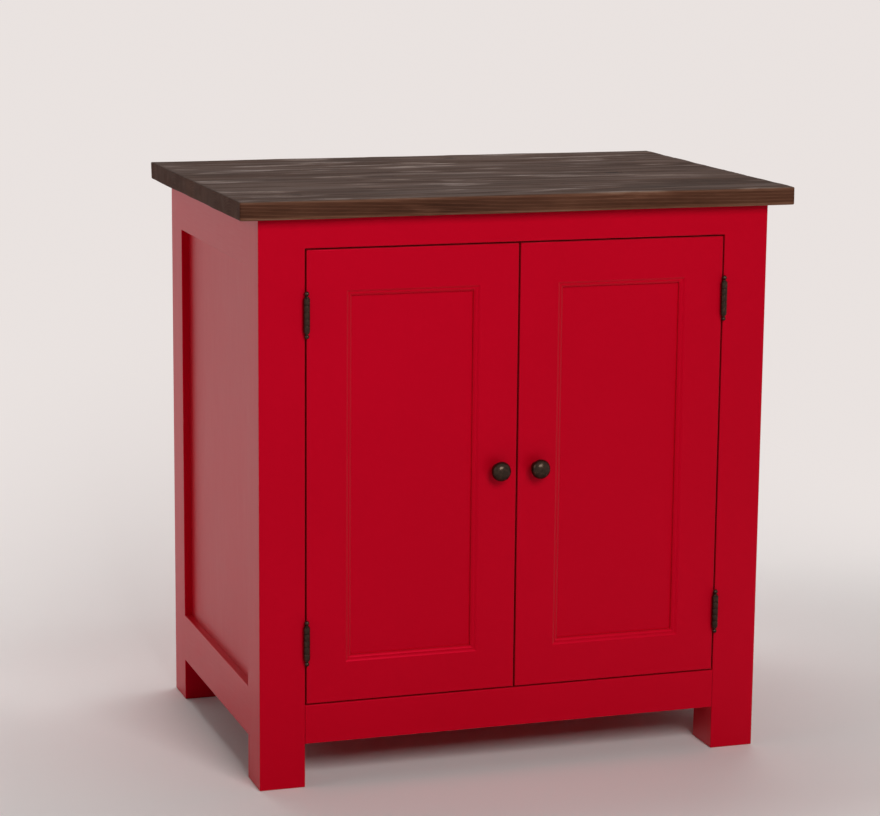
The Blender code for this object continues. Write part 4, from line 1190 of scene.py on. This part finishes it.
def build_stage():
    """The floor, and the backdrop that turns up from it behind the cupboard."""
    start = WALL_Y - COVE_RADIUS
    cove = arc((start, COVE_RADIUS), COVE_RADIUS, COVE_RADIUS, 270.0, 360.0, COVE_STEPS)
    shape = bmesh.new()
    for line in (((-SHEET_REACH, 0.0), *cove, (WALL_Y, WALL_TOP)), (cove[0], (SHEET_REACH, 0.0))):
        rows = [
            [shape.verts.new((x, y, z - FLOOR_DROP)) for x in (-SHEET_REACH, SHEET_REACH)]
            for y, z in line
        ]
        for near, far in zip(rows, rows[1:]):
            shape.faces.new((near[0], near[1], far[1], far[0]))
    mesh_object("floor_and_backdrop", shape, (sheet_finish(),))


def build_light():
    """Soft even light: a pale world and large lamps."""
    world = bpy.data.worlds.new("studio")
    bpy.context.scene.world = world
    world.use_nodes = True
    nodes, links = world.node_tree.nodes, world.node_tree.links
    background = nodes["Background"]
    background.inputs["Color"].default_value = (*WORLD_COLOUR, 1.0)
    seen = seen_directly(world.node_tree)
    strength = nodes.new("ShaderNodeMapRange")
    strength.inputs["To Min"].default_value = WORLD_LIGHT
    strength.inputs["To Max"].default_value = WORLD_SEEN
    links.new(seen, strength.inputs["Value"])
    links.new(strength.outputs["Result"], background.inputs["Strength"])
    for name, (place, target, size, watts) in LAMPS.items():
        lamp = bpy.data.lights.new(name, "AREA")
        lamp.shape = "RECTANGLE"
        lamp.size, lamp.size_y = size
        lamp.energy = watts
        made = bpy.data.objects.new(name, lamp)
        made.location = place
        made.rotation_euler = (Vector(target) - Vector(place)).to_track_quat("-Z", "Y").to_euler()
        bpy.context.scene.collection.objects.link(made)


def build_camera():
    """The camera at the photograph's place, turned by its yaw, pitch and roll."""
    lens = bpy.data.cameras.new("camera")
    lens.sensor_width = SENSOR_WIDTH_MM
    lens.lens = FOCAL_PIXELS * SENSOR_WIDTH_MM / LONG_SIDE_PIXELS
    made = bpy.data.objects.new("camera", lens)
    upright = Matrix.Rotation(QUARTER_TURN, 4, "X")
    yaw = Matrix.Rotation(CAMERA_YAW, 4, "Z")
    pitch = Matrix.Rotation(CAMERA_PITCH, 4, "X")
    roll = Matrix.Rotation(CAMERA_ROLL, 4, "Z")
    made.matrix_world = Matrix.Translation(CAMERA_PLACE) @ yaw @ upright @ pitch @ roll
    bpy.context.scene.collection.objects.link(made)
    bpy.context.scene.camera = made


def paint_cad_nodes(finishes):
    """Gives the CAD nodes that stay their finish."""
    for name, made in FRAME["nodes"].items():
        finish = next(finishes[key] for key in finishes if key in name)
        for place in made.material_slots:
            place.material = finish
        easing = made.modifiers.new("eased_edges", "BEVEL")
        easing.width = CAD_EASE
        easing.segments = EASE_SEGMENTS
        easing.limit_method = "ANGLE"
        easing.angle_limit = EDGE_ANGLE
        keep_faces_flat(made)


# Clear what the file opens with and bring in the CAD model
for old in list(bpy.data.objects):
    bpy.data.objects.remove(old, do_unlink=True)
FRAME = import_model()
CARCASS_NODES = FRAME["record"]["behaviour"]["bodies"]["carcass"]
PEG_NODES = [name for name in CARCASS_NODES if name.endswith("_shelf_peg")]
bpy.context.scene.view_settings.view_transform = "Standard"

PAINTS = [red_paint(f"red_paint_along_{axis}", index) for index, axis in enumerate("xyz")]
WOOD = stained_wood("dark_stained_wood")
METAL = bronze("dark_bronze")
STEEL = zinc("zinc_steel")
PLASTIC = brown_plastic("brown_plastic")

paint_cad_nodes(
    {
        "side_panel": PAINTS[2],
        "back_panel": PAINTS[2],
        "door_panel": PAINTS[2],
        "cleat": PAINTS[1],
        "batten": PAINTS[1],
        "strike_plate": STEEL,
        "door_catch": PLASTIC,
        "": PAINTS[0],
    }
)
HINGES = [Hinge(label, place) for label in ("left", "right") for place in ("upper", "lower")]
build_carcass_frame(PAINTS, [hinge.seat(hinge.side) for hinge in HINGES])
for door_label in ("left", "right"):
    door_seats = [hinge.seat(-hinge.side) for hinge in HINGES if hinge.label == door_label]
    build_door_frame(door_label, (PAINTS[0], PAINTS[2]), door_seats)
    build_knob(door_label, METAL)
    build_knob_screw(door_label, STEEL)
HEAD = slotted_head()
for index, one in enumerate(HINGES):
    build_leaf(one, "post", METAL, HEAD, SLOT_TURNS[2 * index:2 * index + 2])
    build_leaf(one, "door", METAL, HEAD, SLOT_TURNS[-2 * index - 2:][:2])
    build_pin(one, METAL)
for peg in PEG_NODES:
    build_peg(peg, STEEL)
build_worktop(WOOD)
build_stage()
build_light()
build_camera()
